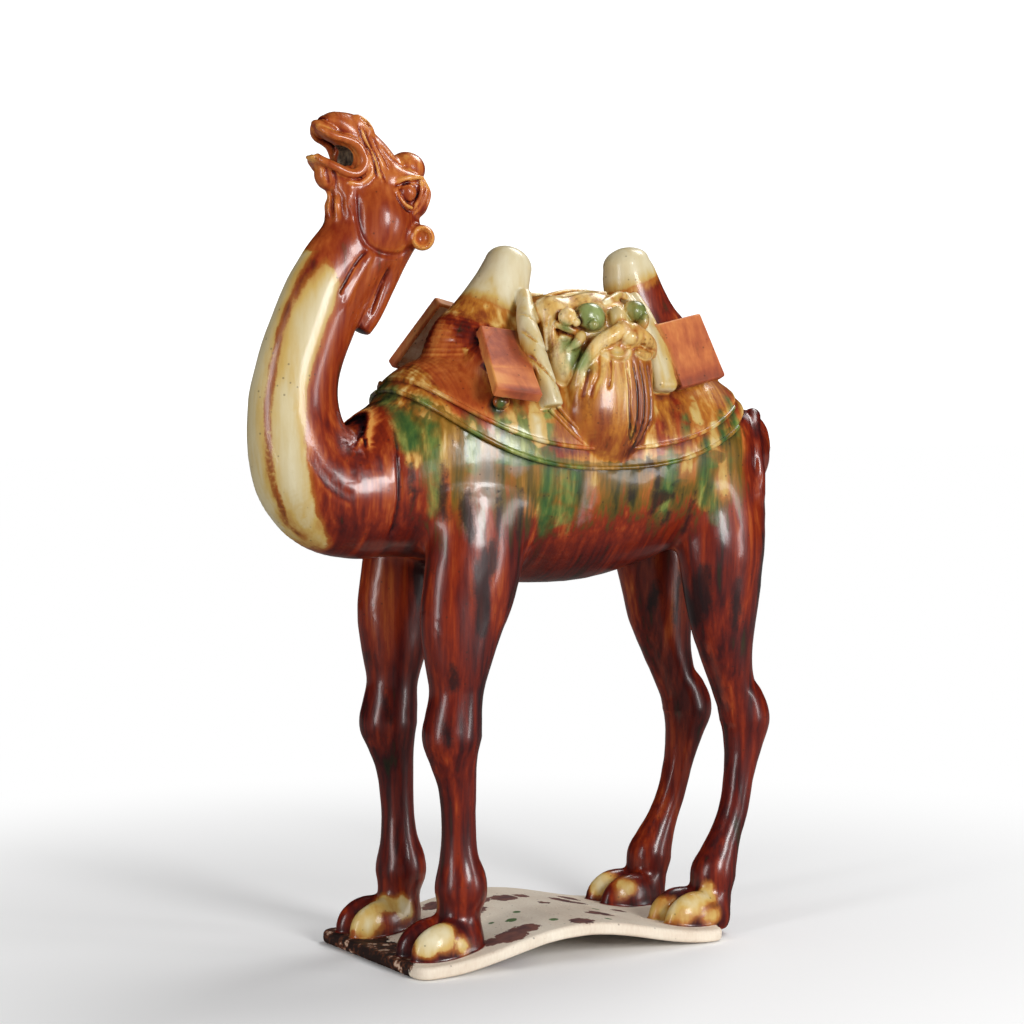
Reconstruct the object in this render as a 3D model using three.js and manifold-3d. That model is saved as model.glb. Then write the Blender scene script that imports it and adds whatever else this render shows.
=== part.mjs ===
// A standing two-humped camel in glazed earthenware, fired in one piece with its arched base plate.
// Millimetres, +Z up. The head looks towards -X and the animal's left side faces -Y.
// The origin lies on the ground under the middle of the figure.

import * as THREE from 'three';
import { mergeVertices } from 'three/addons/utils/BufferGeometryUtils.js';
import Module from 'manifold-3d';

const wasm = await Module();
wasm.setup();

// Driving dimensions

const FIGURE_HEIGHT = 840; // muzzle above the ground
const LEG_SPREAD_FORE = 65; // forelegs from the middle plane
const LEG_SPREAD_HIND = 57; // hind legs from the middle plane

const PLATE_LENGTH = 363;
const PLATE_WIDTH = 219;
const PLATE_THICKNESS = 13;
const PLATE_CORNER = 16; // corner radius seen from above
const ARCH_RISE = 24; // how far the plate has warped up in the middle
const ARCH_LENGTH = 334; // between the two strips that touch the ground
const ARCH_MIDDLE = 4; // the arch's crown, behind the plate's middle

const FOOT_LENGTH = 80;
const FOOT_WIDTH = 62; // over both toes
const FOOT_HEIGHT = 40; // above the plate
const TOES_AHEAD = 29; // middle of the toes in front of the ankle
const TOE_TURN = -0.12; // radians, the toes slope to the front
const FOREFOOT_ANKLE = -110;
const HINDFOOT_ANKLE = 192;
const HIND_FOOT_OUT = 3; // hind feet stand this far outside their legs

const BLANKET_THICKNESS = 5;
const PAD_THICKNESS = 9; // upper felt layer, over the flank
const RIM_WIDTH = 8; // rolled edge of blanket and pad
const RIM_PROUD = 3; // rolled edge over its own layer
const RIM_GAP = 20; // pad edge above blanket edge

const FRONT_BOARD_LENGTH = 44; // saddle boards
const FRONT_BOARD_HEIGHT = 88;
const REAR_BOARD_LENGTH = 59;
const REAR_BOARD_HEIGHT = 71;
const BOARD_THICKNESS = 12;
const BOARD_RIM = 5; // wall around the recess in a board's back
const BOARD_RECESS = 6;

const ROLL_RADIUS = 11.5; // wrapped roll beside the front boards
const BOLSTER_HALF = 14.5; // flat bolster beside the rear boards

const POUCH_PLEATS = 7;
const PLEAT_DEPTH = 3;

// Forms of the animal, written for a figure 840 mm tall and scaled with it

const scale = FIGURE_HEIGHT / 840;

const ACROSS = new THREE.Vector3(0, 1, 0);

// Stations along the body: x, z, half height, half width
const TRUNK = [
  [-200, 480, 34, 30],
  [-182, 482, 55, 52],
  [-150, 486, 78, 73],
  [-110, 492, 101, 88],
  [-60, 494, 116, 97],
  [0, 494, 122, 101],
  [60, 494, 121, 101],
  [120, 497, 111, 99],
  [170, 500, 96, 94],
  [215, 500, 79, 86],
  [252, 499, 56, 68],
  [280, 498, 36, 46],
  [291, 497, 17, 22],
];

// Stations along a spine that lies in the middle plane: x, z, half depth, half width
const NECK = [
  [-120, 488, 64, 62],
  [-168, 472, 68, 66],
  [-212, 470, 65, 62],
  [-240, 486, 59, 54],
  [-255, 512, 52, 44],
  [-261, 545, 47, 36],
  [-258, 580, 43, 33],
  [-246, 617, 42, 32],
  [-228, 656, 42, 31],
  [-208, 690, 42, 30],
  [-190, 714, 40, 30],
  [-174, 734, 36, 29],
];

const SKULL = [
  [-156, 716, 32, 28],
  [-163, 740, 40, 31],
  [-166, 764, 36, 31],
  [-174, 787, 26, 25],
  [-187, 806, 20, 21],
  [-202, 820, 16, 19],
  [-216, 828, 12, 17],
  [-228, 830, 6, 12],
];

const JAW = [
  [-172, 742, 26, 26],
  [-190, 756, 24, 23],
  [-205, 771, 17, 18],
  [-220, 784, 11, 15],
  [-233, 792, 7, 13],
  [-242, 795, 3, 8],
];

const THROAT = [
  [-176, 700, 34, 24],
  [-194, 722, 30, 23],
  [-201, 745, 23, 21],
  [-203, 763, 15, 18],
];

const MANE = [
  [-139, 726, 14, 17],
  [-151, 702, 15, 17],
  [-166, 672, 14, 16],
  [-179, 645, 13, 15],
  [-188, 629, 11, 13],
];

const FRONT_HUMP = [
  [-48, 585, 76, 60],
  [-49, 612, 60, 48],
  [-42, 634, 46, 38],
  [-34, 655, 36, 31],
  [-25, 677, 29, 26],
  [-18, 695, 24, 22],
  [-15, 707, 14, 14],
];

const REAR_HUMP = [
  [160, 580, 74, 60],
  [156, 612, 54, 46],
  [146, 640, 40, 36],
  [138, 664, 33, 30],
  [130, 688, 29, 27],
  [126, 703, 23, 22],
  [124, 712, 12, 13],
];

const TAIL = [
  [254, 520, 20, 13],
  [276, 530, 18, 14],
  [291, 522, 18, 15],
  [298, 506, 16, 14],
  [296, 491, 11, 11],
];

// The tail's end lies over the left buttock: x, y, z and half width from its root to its tip
const TAIL_END = [
  [256, -44, 540, 9],
  [244, -62, 522, 10],
  [243, -71, 502, 8],
  [244, -76, 483, 5],
  [241, -78, 463, 2],
];
const TAIL_END_FLAT = 0.6; // thickness as a share of its width

// Stations down a leg: x, z, half depth, half width, outwards from the leg's own plane
const FORELEG = [
  [-84, 482, 34, 22, -14],
  [-86, 460, 47, 31, -3],
  [-92, 420, 51, 35, 0],
  [-102, 375, 49, 34, 1],
  [-111, 340, 44, 32, 1],
  [-115, 304, 35, 30, 1],
  [-117, 272, 27, 26, 1],
  [-120, 245, 29, 27, 1],
  [-122, 226, 30, 28, 1],
  [-119, 204, 24, 23, 0],
  [-115, 178, 19, 19, -1],
  [-113, 140, 17, 17, -2],
  [-112, 110, 19, 19, -3],
  [-110, 88, 25, 25, -3],
  [-110, 72, 26, 26, -3],
  [-112, 56, 22, 22, -3],
  [-114, 36, 22, 22, -3],
];

const HIND_LEG = [
  [214, 500, 34, 20, -12],
  [211, 478, 45, 28, -2],
  [208, 450, 51, 33, 2],
  [206, 405, 49, 37, 4],
  [208, 365, 44, 34, 3],
  [211, 325, 37, 30, 1],
  [217, 290, 28, 26, -1],
  [227, 258, 23, 23, -3],
  [238, 238, 26, 25, -4],
  [243, 220, 27, 26, -4],
  [240, 196, 21, 21, -3],
  [234, 165, 16, 17, -1],
  [226, 130, 15, 16, 1],
  [215, 103, 16, 17, 2],
  [205, 80, 20, 21, 3],
  [198, 62, 24, 24, 3],
  [194, 38, 20, 22, 3],
];

// Small forms of one side of the head: middle, radii and turn about Y
const HEAD_FORMS = [
  { at: [-148, 27, 763], radii: [10, 8, 9] }, // eyeball
  { at: [-148, 26, 776], radii: [18, 8, 5], turn: 0.1 }, // brow
  { at: [-174, 20, 741], radii: [27, 16, 26] }, // cheek
  { at: [-200, 15, 830], radii: [10, 5, 6], turn: 0.7 }, // nostril
  { at: [-133, 24, 757], radii: [8, 8, 16] }, // fold behind the eye
];
const CREST = { at: [-139, 0, 789], radii: [18, 18, 16] };
const CHIN = { at: [-228, 0, 774], radii: [9, 10, 13], turn: -0.4 };
const EAR_SHELL = { at: [-136, 31, 717], radii: [12, 12, 13], turn: 0.4 };
const EAR_HOLLOW = { at: [-140, 40, 718], radii: [7, 6, 9], turn: 0.4 };

// Monster mask on one side of the pack
const MASK_FORMS = [
  { at: [44, 60, 620], radii: [54, 34, 48], segments: 10 }, // face
  { at: [24, 90, 641], radii: [15, 11, 11], turn: 0.3 }, // front eye
  { at: [27, 94, 630], radii: [9, 9, 8] }, // its pupil
  { at: [70, 88, 642], radii: [13, 11, 11], turn: -0.3 }, // rear eye
  { at: [0, 84, 638], radii: [9, 9, 9] }, // ear knob
  { at: [50, 94, 638], radii: [11, 13, 18] }, // bridge of the nose
  { at: [56, 106, 626], radii: [17, 14, 9] }, // nose
  { at: [42, 104, 614], radii: [17, 13, 8], turn: 0.5 }, // lip, front half
  { at: [76, 102, 614], radii: [14, 12, 8], turn: -0.5 }, // lip, rear half
  { at: [22, 98, 598], radii: [10, 11, 19], turn: 0.5 }, // front corner of the lip
  { at: [92, 92, 600], radii: [8, 11, 17], turn: -0.3 }, // rear corner of the lip
  { at: [4, 88, 608], radii: [15, 12, 17] }, // cheek
];
const CUSHION = { at: [46, 0, 602], radii: [104, 84, 66], segments: 12 };

// Pleated pouch below the mask, gathered at its foot: x, z, half width along X, half width along Y
const POUCH = [
  [56, 612, 36, 22],
  [53, 594, 41, 25],
  [47, 566, 48, 30],
  [44, 536, 49, 30],
  [47, 508, 34, 22],
  [50, 493, 15, 12],
];
const POUCH_ASIDE = 92; // its middle line from the middle plane

// Middle lines of the rolls that hang down between boards and mask
const FRONT_ROLL = [[-18, 32, 664], [-33, 62, 632], [-35, 81, 604], [-27, 99, 552]];
const REAR_BOLSTER = [[106, 38, 664], [105, 60, 643], [109, 80, 609], [112, 93, 568]];
const ROLL_FLAT = 0.9; // thickness as a share of width
const BOLSTER_FLAT = 0.7;
const ROUNDED_ENDS = [0.45, 1, 1, 1, 0.45]; // share of the full radius from end to end

// Solids from geometry

function toSolid(geometry) {
  geometry.deleteAttribute('normal');
  geometry.deleteAttribute('uv');
  const merged = mergeVertices(geometry, 1e-4);
  const mesh = new wasm.Mesh({
    numProp: 3,
    vertProperties: new Float32Array(merged.attributes.position.array),
    triVerts: new Uint32Array(merged.index.array),
  });
  return new wasm.Manifold(mesh);
}

function joined(solids) {
  return solids.reduce((whole, solid) => whole.add(solid));
}

// A closed skin over rings of points, with both end rings closed to their middle
function loft(rings) {
  const points = rings.flat();
  const sides = rings[0].length;
  const index = [];
  for (let r = 0; r + 1 < rings.length; r += 1) {
    for (let i = 0; i < sides; i += 1) {
      const a = r * sides + i;
      const b = r * sides + ((i + 1) % sides);
      index.push(a, b, b + sides, a, b + sides, a + sides);
    }
  }
  const middleOf = (ring) =>
    ring.reduce((sum, p) => sum.add(p), new THREE.Vector3()).divideScalar(sides);
  const first = points.push(middleOf(rings[0])) - 1;
  const last = points.push(middleOf(rings[rings.length - 1])) - 1;
  const end = (rings.length - 1) * sides;
  for (let i = 0; i < sides; i += 1) {
    const next = (i + 1) % sides;
    index.push(first, next, i, last, end + i, end + next);
  }
  const geometry = new THREE.BufferGeometry().setFromPoints(points);
  geometry.setIndex(index);
  return toSolid(geometry);
}

// A tapering body along a spine of stations [x, z, half depth, half width], at y across.
// ripple(around, along) adds to the radius, for folds and pleats.
function body(stations, { sides, steps, y = 0, grow = 0, ripple = () => 0 }) {
  const at = ([x, z, , , out = 0]) =>
    new THREE.Vector3(x * scale, y + Math.sign(y) * out * scale, z * scale);
  const spine = new THREE.CatmullRomCurve3(stations.map(at), false, 'centripetal');
  const sizes = new THREE.CatmullRomCurve3(
    stations.map(([, , deep, wide], i) => new THREE.Vector3(deep * scale, wide * scale, i * 20)),
    false,
    'centripetal',
  );
  const rings = [];
  for (let k = 0; k <= steps; k += 1) {
    const t = k / steps;
    const centre = spine.getPoint(t);
    const size = sizes.getPoint(t);
    const along = spine.getTangent(t);
    const deepWay = new THREE.Vector3().crossVectors(ACROSS, along).normalize();
    const ring = [];
    for (let i = 0; i < sides; i += 1) {
      const around = (i / sides) * 2 * Math.PI;
      const out = grow + ripple(around, t);
      ring.push(
        centre
          .clone()
          .addScaledVector(deepWay, (size.x + out) * Math.cos(around))
          .addScaledVector(ACROSS, (size.y + out) * Math.sin(around)),
      );
    }
    rings.push(ring);
  }
  return loft(rings);
}

// A cord through points [x, y, z] whose radius runs through radii; flat is its thickness over its width
function cord(points, radii, flat) {
  const path = new THREE.CatmullRomCurve3(
    points.map(([x, y, z]) => new THREE.Vector3(x * scale, y * scale, z * scale)),
  );
  const steps = 6;
  const sides = 8;
  const rings = [];
  for (let k = 0; k <= steps; k += 1) {
    const t = k / steps;
    const centre = path.getPoint(t);
    const along = path.getTangent(t);
    const out = new THREE.Vector3(along.z, 0, -along.x).normalize();
    const over = new THREE.Vector3().crossVectors(along, out).normalize();
    const place = t * (radii.length - 1);
    const before = Math.min(Math.floor(place), radii.length - 2);
    const radius = THREE.MathUtils.lerp(radii[before], radii[before + 1], place - before) * scale;
    const ring = [];
    for (let i = 0; i < sides; i += 1) {
      const around = (i / sides) * 2 * Math.PI;
      ring.push(
        centre
          .clone()
          .addScaledVector(out, radius * Math.cos(around))
          .addScaledVector(over, radius * flat * Math.sin(around)),
      );
    }
    rings.push(ring);
  }
  return loft(rings);
}

function ellipsoid([x, y, z], [rx, ry, rz], turn = 0, segments = 7) {
  const ball = new THREE.SphereGeometry(1, segments, Math.round(segments * 0.66));
  ball.rotateX(Math.PI / 2);
  ball.scale(rx, ry, rz);
  ball.rotateY(turn);
  ball.translate(x, y, z);
  return toSolid(ball);
}

// A rounded form from one of the tables above, on the side given
function lump({ at, radii, turn = 0, segments = 6 }, side = 1) {
  const [x, y, z] = at;
  const middle = [x * scale, side * y * scale, z * scale];
  return ellipsoid(middle, radii.map((r) => r * scale), turn, segments);
}

function bothSides(make) {
  return [make(-1), make(1)];
}

// Base plate

function underside(x) {
  const share = (x - ARCH_MIDDLE) / (ARCH_LENGTH / 2);
  if (Math.abs(share) >= 1) return 0;
  return ARCH_RISE * Math.cos((share * Math.PI) / 2) ** 2;
}

function platePlan() {
  const [l, w, r] = [PLATE_LENGTH / 2, PLATE_WIDTH / 2, PLATE_CORNER];
  const plan = new THREE.Shape();
  plan.absarc(l - r, w - r, r, 0, Math.PI / 2);
  plan.absarc(r - l, w - r, r, Math.PI / 2, Math.PI);
  plan.absarc(r - l, r - w, r, Math.PI, 1.5 * Math.PI);
  plan.absarc(l - r, r - w, r, 1.5 * Math.PI, 2 * Math.PI);
  return plan;
}

// The line of the plate's underside, lifted by some millimetres and run on past both ends
function archLine(lift) {
  const steps = 12;
  const start = ARCH_MIDDLE - ARCH_LENGTH / 2;
  const span = Array.from({ length: steps + 1 }, (_, i) => start + (i / steps) * ARCH_LENGTH);
  const xs = [-PLATE_LENGTH, ...span, PLATE_LENGTH];
  return xs.map((x) => new THREE.Vector2(x, underside(x) + lift));
}

// A block along Y between two lines in the XZ plane
function blockBetween(low, high) {
  const wide = PLATE_WIDTH + 2;
  const side = new THREE.Shape([...low, ...high.toReversed()]);
  const block = new THREE.ExtrudeGeometry(side, { depth: wide, bevelEnabled: false });
  block.rotateX(Math.PI / 2);
  block.translate(0, wide / 2, 0);
  return toSolid(block);
}

function basePlate() {
  const arch = blockBetween(archLine(0), archLine(PLATE_THICKNESS));
  const tall = ARCH_RISE + PLATE_THICKNESS + 2;
  const plan = new THREE.ExtrudeGeometry(platePlan(), {
    depth: tall,
    bevelEnabled: false,
    curveSegments: 3,
  });
  plan.translate(0, 0, -1);
  return arch.intersect(toSolid(plan));
}

// Two domed toes and a pad under the ankle, standing on the plate
function foot(ankle, y, side) {
  const front = ankle - TOES_AHEAD;
  const floor = underside(front) + PLATE_THICKNESS - 2;
  const toeHalf = FOOT_WIDTH / 4;
  const toes = bothSides((toe) =>
    ellipsoid(
      [front, side * y + toe * toeHalf * 0.95, floor + FOOT_HEIGHT * 0.16],
      [FOOT_LENGTH * 0.45, toeHalf * 1.08, FOOT_HEIGHT * 0.74],
      TOE_TURN,
    ));
  const pad = ellipsoid(
    [ankle, side * y, floor + FOOT_HEIGHT * 0.25],
    [FOOT_LENGTH * 0.26, FOOT_WIDTH * 0.42, FOOT_HEIGHT * 0.72],
  );
  return joined([...toes, pad]);
}

// Feet end inside the plate, so that nothing stands out below it
function abovePlate(solid) {
  const low = archLine(PLATE_THICKNESS / 2);
  const high = [low[0], low.at(-1)].map(({ x }) => new THREE.Vector2(x, FIGURE_HEIGHT));
  return solid.intersect(blockBetween(low, high));
}

function legs() {
  const leg = (stations, y) => body(stations, { sides: 9, steps: 14, y });
  const fore = bothSides((side) => leg(FORELEG, side * LEG_SPREAD_FORE));
  const hind = bothSides((side) => leg(HIND_LEG, side * LEG_SPREAD_HIND));
  const feet = bothSides((side) => joined([
    foot(FOREFOOT_ANKLE, LEG_SPREAD_FORE, side),
    foot(HINDFOOT_ANKLE, LEG_SPREAD_HIND + HIND_FOOT_OUT, side),
  ]));
  return abovePlate(joined([...fore, ...hind, ...feet]));
}

// Blanket and pad: the trunk's own form grown outwards and kept above a rim line that dips at the flank

const RIM_LOW = 511; // pad edge at its lowest, over the belly
const RIM_LOW_X = 40;
const RIM_CLIMB = 73; // to where it crosses the back at either end
const RIM_FRONT_X = -155;
const RIM_REAR_X = 256;
const RIM_BEYOND = 60; // how far the rim line runs on past either end

function rimHeight(x) {
  const reach = x < RIM_LOW_X ? RIM_LOW_X - RIM_FRONT_X : RIM_REAR_X - RIM_LOW_X;
  return RIM_LOW + RIM_CLIMB * (Math.abs(x - RIM_LOW_X) / reach) ** 2.5;
}

// Everything between two heights over the rim line, as a block along Y
function rimBand(low, high) {
  const steps = 10;
  const [from, to] = [RIM_FRONT_X - RIM_BEYOND, RIM_REAR_X + RIM_BEYOND];
  const xs = Array.from({ length: steps + 1 }, (_, i) => from + (i / steps) * (to - from));
  const lower = xs.map((x) => new THREE.Vector2(x * scale, rimHeight(x) * scale + low));
  const upper = xs.map((x) => new THREE.Vector2(x * scale, rimHeight(x) * scale + high));
  const shape = new THREE.Shape([...lower, ...upper.reverse()]);
  const wide = FIGURE_HEIGHT;
  const band = new THREE.ExtrudeGeometry(shape, { depth: wide, bevelEnabled: false });
  band.rotateX(Math.PI / 2);
  band.translate(0, wide / 2, 0);
  return toSolid(band);
}

function trunkSkin(grow) {
  return body(TRUNK, { sides: 16, steps: 12, grow });
}

function coverings() {
  const far = FIGURE_HEIGHT;
  const blanket = trunkSkin(BLANKET_THICKNESS).intersect(rimBand(-RIM_GAP, far));
  const pad = trunkSkin(PAD_THICKNESS).intersect(rimBand(0, far));
  const blanketRim = trunkSkin(BLANKET_THICKNESS + RIM_PROUD).intersect(
    rimBand(-RIM_GAP - RIM_WIDTH / 2, -RIM_GAP + RIM_WIDTH / 2),
  );
  const padRim = trunkSkin(PAD_THICKNESS + RIM_PROUD).intersect(
    rimBand(-RIM_WIDTH / 2, RIM_WIDTH / 2),
  );
  return joined([blanket, pad, blanketRim, padRim]);
}

// Saddle boards, each a slab with a recess in its back

const FRONT_BOARD = {
  x: -65,
  y: 80,
  length: FRONT_BOARD_LENGTH,
  height: FRONT_BOARD_HEIGHT,
  splay: 38,
  tilt: 15,
};
const REAR_BOARD = {
  x: 150,
  y: 80,
  length: REAR_BOARD_LENGTH,
  height: REAR_BOARD_HEIGHT,
  splay: 20,
  tilt: -13,
};
const BOARDS = [
  { ...FRONT_BOARD, side: -1, z: 596, tilt: 22 },
  { ...FRONT_BOARD, side: 1, z: 624 },
  { ...REAR_BOARD, side: -1, z: 608 },
  { ...REAR_BOARD, side: 1, z: 608 },
];

function board({ x, y, z, length, height, splay, tilt, side }) {
  const slab = new THREE.BoxGeometry(length, BOARD_THICKNESS, height);
  const recess = new THREE.BoxGeometry(
    length - 2 * BOARD_RIM,
    BOARD_THICKNESS,
    height - 2 * BOARD_RIM,
  );
  recess.translate(0, -side * (BOARD_THICKNESS - BOARD_RECESS), 0);
  const place = new THREE.Matrix4()
    .makeTranslation(x * scale, side * y * scale, z * scale)
    .multiply(new THREE.Matrix4().makeRotationX(THREE.MathUtils.degToRad(splay) * side))
    .multiply(new THREE.Matrix4().makeRotationY(THREE.MathUtils.degToRad(tilt)));
  slab.applyMatrix4(place);
  recess.applyMatrix4(place);
  return toSolid(slab).subtract(toSolid(recess));
}

// A lump of saddle pad behind each board carries it
function boardPad({ x, y, z, side }) {
  return lump({ at: [x, y - 34, z - 14], radii: [40, 46, 44] }, side);
}

// Pack between the humps: cushion, rolls, mask and pouch

function hangingRoll(points, side, radius, flat) {
  const placed = points.map(([x, y, z]) => [x, side * y, z]);
  return cord(placed, ROUNDED_ENDS.map((share) => share * radius), flat);
}

function mask(side) {
  return joined(MASK_FORMS.map((form) => lump(form, side)));
}

function pouch(side) {
  const ripple = (around, t) =>
    PLEAT_DEPTH * Math.cos(POUCH_PLEATS * 2 * around) * Math.min(1, 3 * t);
  return body(POUCH, { sides: 28, steps: 5, y: side * POUCH_ASIDE * scale, ripple });
}

// Head

function ear(side) {
  return lump(EAR_SHELL, side).subtract(lump(EAR_HOLLOW, side));
}

function headDetails() {
  const paired = bothSides((side) =>
    joined([...HEAD_FORMS.map((form) => lump(form, side)), ear(side)]));
  return joined([...paired, lump(CREST), lump(CHIN)]);
}

function tailEnd() {
  return cord(TAIL_END, TAIL_END.map(([, , , radius]) => radius), TAIL_END_FLAT);
}

function animal() {
  return joined([
    trunkSkin(0),
    body(NECK, { sides: 12, steps: 12 }),
    body(SKULL, { sides: 12, steps: 8 }),
    body(JAW, { sides: 10, steps: 5 }),
    body(THROAT, { sides: 10, steps: 4 }),
    body(MANE, { sides: 8, steps: 5 }),
    body(FRONT_HUMP, { sides: 12, steps: 7 }),
    body(REAR_HUMP, { sides: 12, steps: 7 }),
    body(TAIL, { sides: 9, steps: 5 }),
    tailEnd(),
    headDetails(),
    legs(),
  ]);
}

function harness() {
  const sides = bothSides((side) => joined([
    hangingRoll(FRONT_ROLL, side, ROLL_RADIUS, ROLL_FLAT),
    hangingRoll(REAR_BOLSTER, side, BOLSTER_HALF, BOLSTER_FLAT),
    mask(side),
    pouch(side),
  ]));
  const boards = BOARDS.flatMap((place) => [board(place), boardPad(place)]);
  return joined([coverings(), lump(CUSHION), ...boards, ...sides]);
}

// The whole figure, with the middle of its outline over the origin

const whole = joined([animal(), harness(), basePlate()]);
const surface = whole.getMesh();
const geometry = new THREE.BufferGeometry();
geometry.setAttribute('position', new THREE.BufferAttribute(surface.vertProperties, 3));
geometry.setIndex(new THREE.BufferAttribute(surface.triVerts, 1));
geometry.computeBoundingBox();
const { min, max } = geometry.boundingBox;
geometry.translate(-(min.x + max.x) / 2, -(min.y + max.y) / 2, -min.z);
geometry.computeVertexNormals();

const amberGlaze = new THREE.MeshStandardMaterial({ color: 0x8c3d16, roughness: 0.22, metalness: 0 });
const camel = new THREE.Mesh(geometry, amberGlaze);
camel.name = 'camel_figure';

const figure = new THREE.Group();
figure.add(camel);

export default figure;
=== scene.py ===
import math

import bpy
import numpy as np
from bpy.props import FloatProperty, FloatVectorProperty, IntProperty, PointerProperty
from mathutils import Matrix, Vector


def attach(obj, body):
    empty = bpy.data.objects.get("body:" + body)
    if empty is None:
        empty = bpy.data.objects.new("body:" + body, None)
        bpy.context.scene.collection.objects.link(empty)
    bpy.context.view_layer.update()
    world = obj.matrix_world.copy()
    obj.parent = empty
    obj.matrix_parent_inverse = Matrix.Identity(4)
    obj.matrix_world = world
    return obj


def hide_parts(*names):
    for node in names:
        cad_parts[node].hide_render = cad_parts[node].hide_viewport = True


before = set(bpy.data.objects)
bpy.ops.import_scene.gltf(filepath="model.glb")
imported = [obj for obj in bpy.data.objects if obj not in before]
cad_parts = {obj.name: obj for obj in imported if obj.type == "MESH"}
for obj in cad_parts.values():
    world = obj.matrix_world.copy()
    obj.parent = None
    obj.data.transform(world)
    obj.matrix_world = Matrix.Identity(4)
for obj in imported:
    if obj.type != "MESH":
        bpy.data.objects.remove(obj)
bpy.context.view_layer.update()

bl_info = {
    "name": "Glazed Camel",
    "version": (1, 0, 0),
    "blender": (4, 5, 0),
    "location": "3D View > Sidebar > Camel",
    "description": "A standing earthenware camel under amber, cream and green lead glaze",
    "category": "Object",
}

# All forms are in millimetres, measured from the middle of the base plate. The head looks
# towards -X, the camel's left side faces -Y, and z is the height over the ground.

PLATE_MIDDLE_X = -2.08  # the plate's middle in the part's own frame
FAR = 90.0  # stands for a form that is out of reach
REACH = 34.0  # how far outside its own box a form is still measured
NOWHERE = -60.0  # stands for a colour that is out of reach
MM = 1000.0  # in a metre

PLATE_LENGTH = 363.0
PLATE_WIDTH = 219.0
PLATE_THICKNESS = 13.0
PLATE_CORNER = 16.0
ARCH_RISE = 24.0
ARCH_LENGTH = 334.0
ARCH_MIDDLE = 4.0
PLATE_HALF = (PLATE_LENGTH / 2, PLATE_WIDTH / 2)

# Legs: how far out they stand, and where their ankles are

FORE_SPREAD = 65.0
HIND_SPREAD = 57.0
FOREFOOT_ANKLE = -110.0
HINDFOOT_ANKLE = 192.0

BLANKET = 4.0  # how far cloth and pad stand out from the trunk
PAD = 7.0
RIM_GAP = 20.0  # from the pad's edge down to the cloth's edge

# Stations: x, z, half depth, half width, and for legs how far they lean out of their plane

TRUNK = [
    (-200, 480, 34, 30), (-182, 482, 55, 52), (-150, 486, 78, 73), (-110, 492, 101, 88),
    (-60, 494, 116, 97), (0, 494, 122, 101), (60, 494, 121, 101), (120, 497, 111, 99),
    (170, 500, 96, 94), (215, 500, 79, 86), (252, 499, 56, 68), (280, 498, 36, 46),
    (291, 497, 17, 22),
]
NECK = [
    (-120, 488, 64, 62), (-168, 472, 68, 66), (-212, 470, 65, 62), (-240, 486, 59, 54),
    (-255, 512, 52, 44), (-261, 545, 47, 36), (-258, 580, 43, 33), (-246, 617, 42, 32),
    (-228, 656, 42, 31), (-207, 690, 41, 30), (-187, 712, 37, 30), (-172, 733, 34, 29),
]
SKULL = [
    (-156, 716, 32, 28), (-163, 740, 40, 31), (-166, 764, 36, 31), (-174, 787, 26, 25),
    (-187, 806, 20, 21), (-202, 820, 16, 19), (-216, 828, 12, 17), (-228, 830, 6, 12),
]
JAW = [
    (-172, 742, 26, 26), (-190, 756, 24, 23), (-205, 771, 17, 18), (-220, 784, 11, 15),
    (-233, 792, 7, 13), (-242, 795, 3, 8),
]
THROAT = [(-176, 700, 32, 24), (-190, 722, 27, 23), (-198, 745, 20, 20), (-202, 763, 14, 17)]
MANE = [
    (-139, 726, 14, 17), (-151, 702, 15, 17), (-166, 672, 14, 16), (-179, 645, 13, 15),
    (-188, 629, 11, 13),
]
FRONT_HUMP = [
    (-48, 585, 76, 60), (-49, 612, 60, 48), (-42, 634, 46, 38), (-34, 655, 36, 31),
    (-25, 677, 29, 26), (-18, 695, 25, 23),
]
REAR_HUMP = [
    (160, 580, 74, 60), (156, 612, 54, 46), (146, 640, 40, 36), (138, 664, 33, 30),
    (130, 688, 29, 27), (126, 701, 25, 24),
]
TAIL = [
    (254, 520, 20, 13), (276, 530, 18, 14), (290, 522, 18, 15), (296, 506, 16, 14), (294, 491, 11, 11),
]
FORELEG = [
    (-84, 482, 34, 22, -14), (-86, 460, 47, 31, -3), (-92, 420, 51, 35, 0), (-102, 375, 49, 34, 1),
    (-111, 340, 44, 32, 1), (-115, 304, 35, 30, 1), (-117, 272, 27, 26, 1), (-120, 245, 29, 27, 1),
    (-122, 226, 30, 28, 1), (-119, 204, 24, 23, 0), (-115, 178, 19, 19, -1), (-113, 140, 17, 17, -2),
    (-112, 110, 19, 19, -3), (-110, 88, 25, 25, -3), (-110, 72, 26, 26, -3), (-112, 56, 22, 22, -3),
    (-114, 36, 22, 22, -3),
]
HIND_LEG = [
    (214, 500, 34, 20, -12), (211, 478, 45, 28, -2), (208, 450, 51, 33, 2), (206, 405, 49, 37, 4),
    (208, 365, 44, 34, 3), (211, 325, 37, 30, 1), (217, 290, 28, 26, -1), (227, 258, 23, 23, -3),
    (238, 238, 26, 25, -4), (243, 220, 27, 26, -4), (240, 196, 21, 21, -3), (234, 165, 16, 17, -1),
    (226, 130, 15, 16, 1), (215, 103, 16, 17, 2), (205, 80, 20, 21, 3), (198, 62, 24, 24, 3),
    (194, 38, 20, 22, 3),
]
POUCH = [
    (56, 612, 36, 22), (53, 594, 42, 25), (47, 566, 49, 30), (44, 536, 50, 30), (47, 510, 34, 21),
    (50, 496, 13, 10),
]


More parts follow.
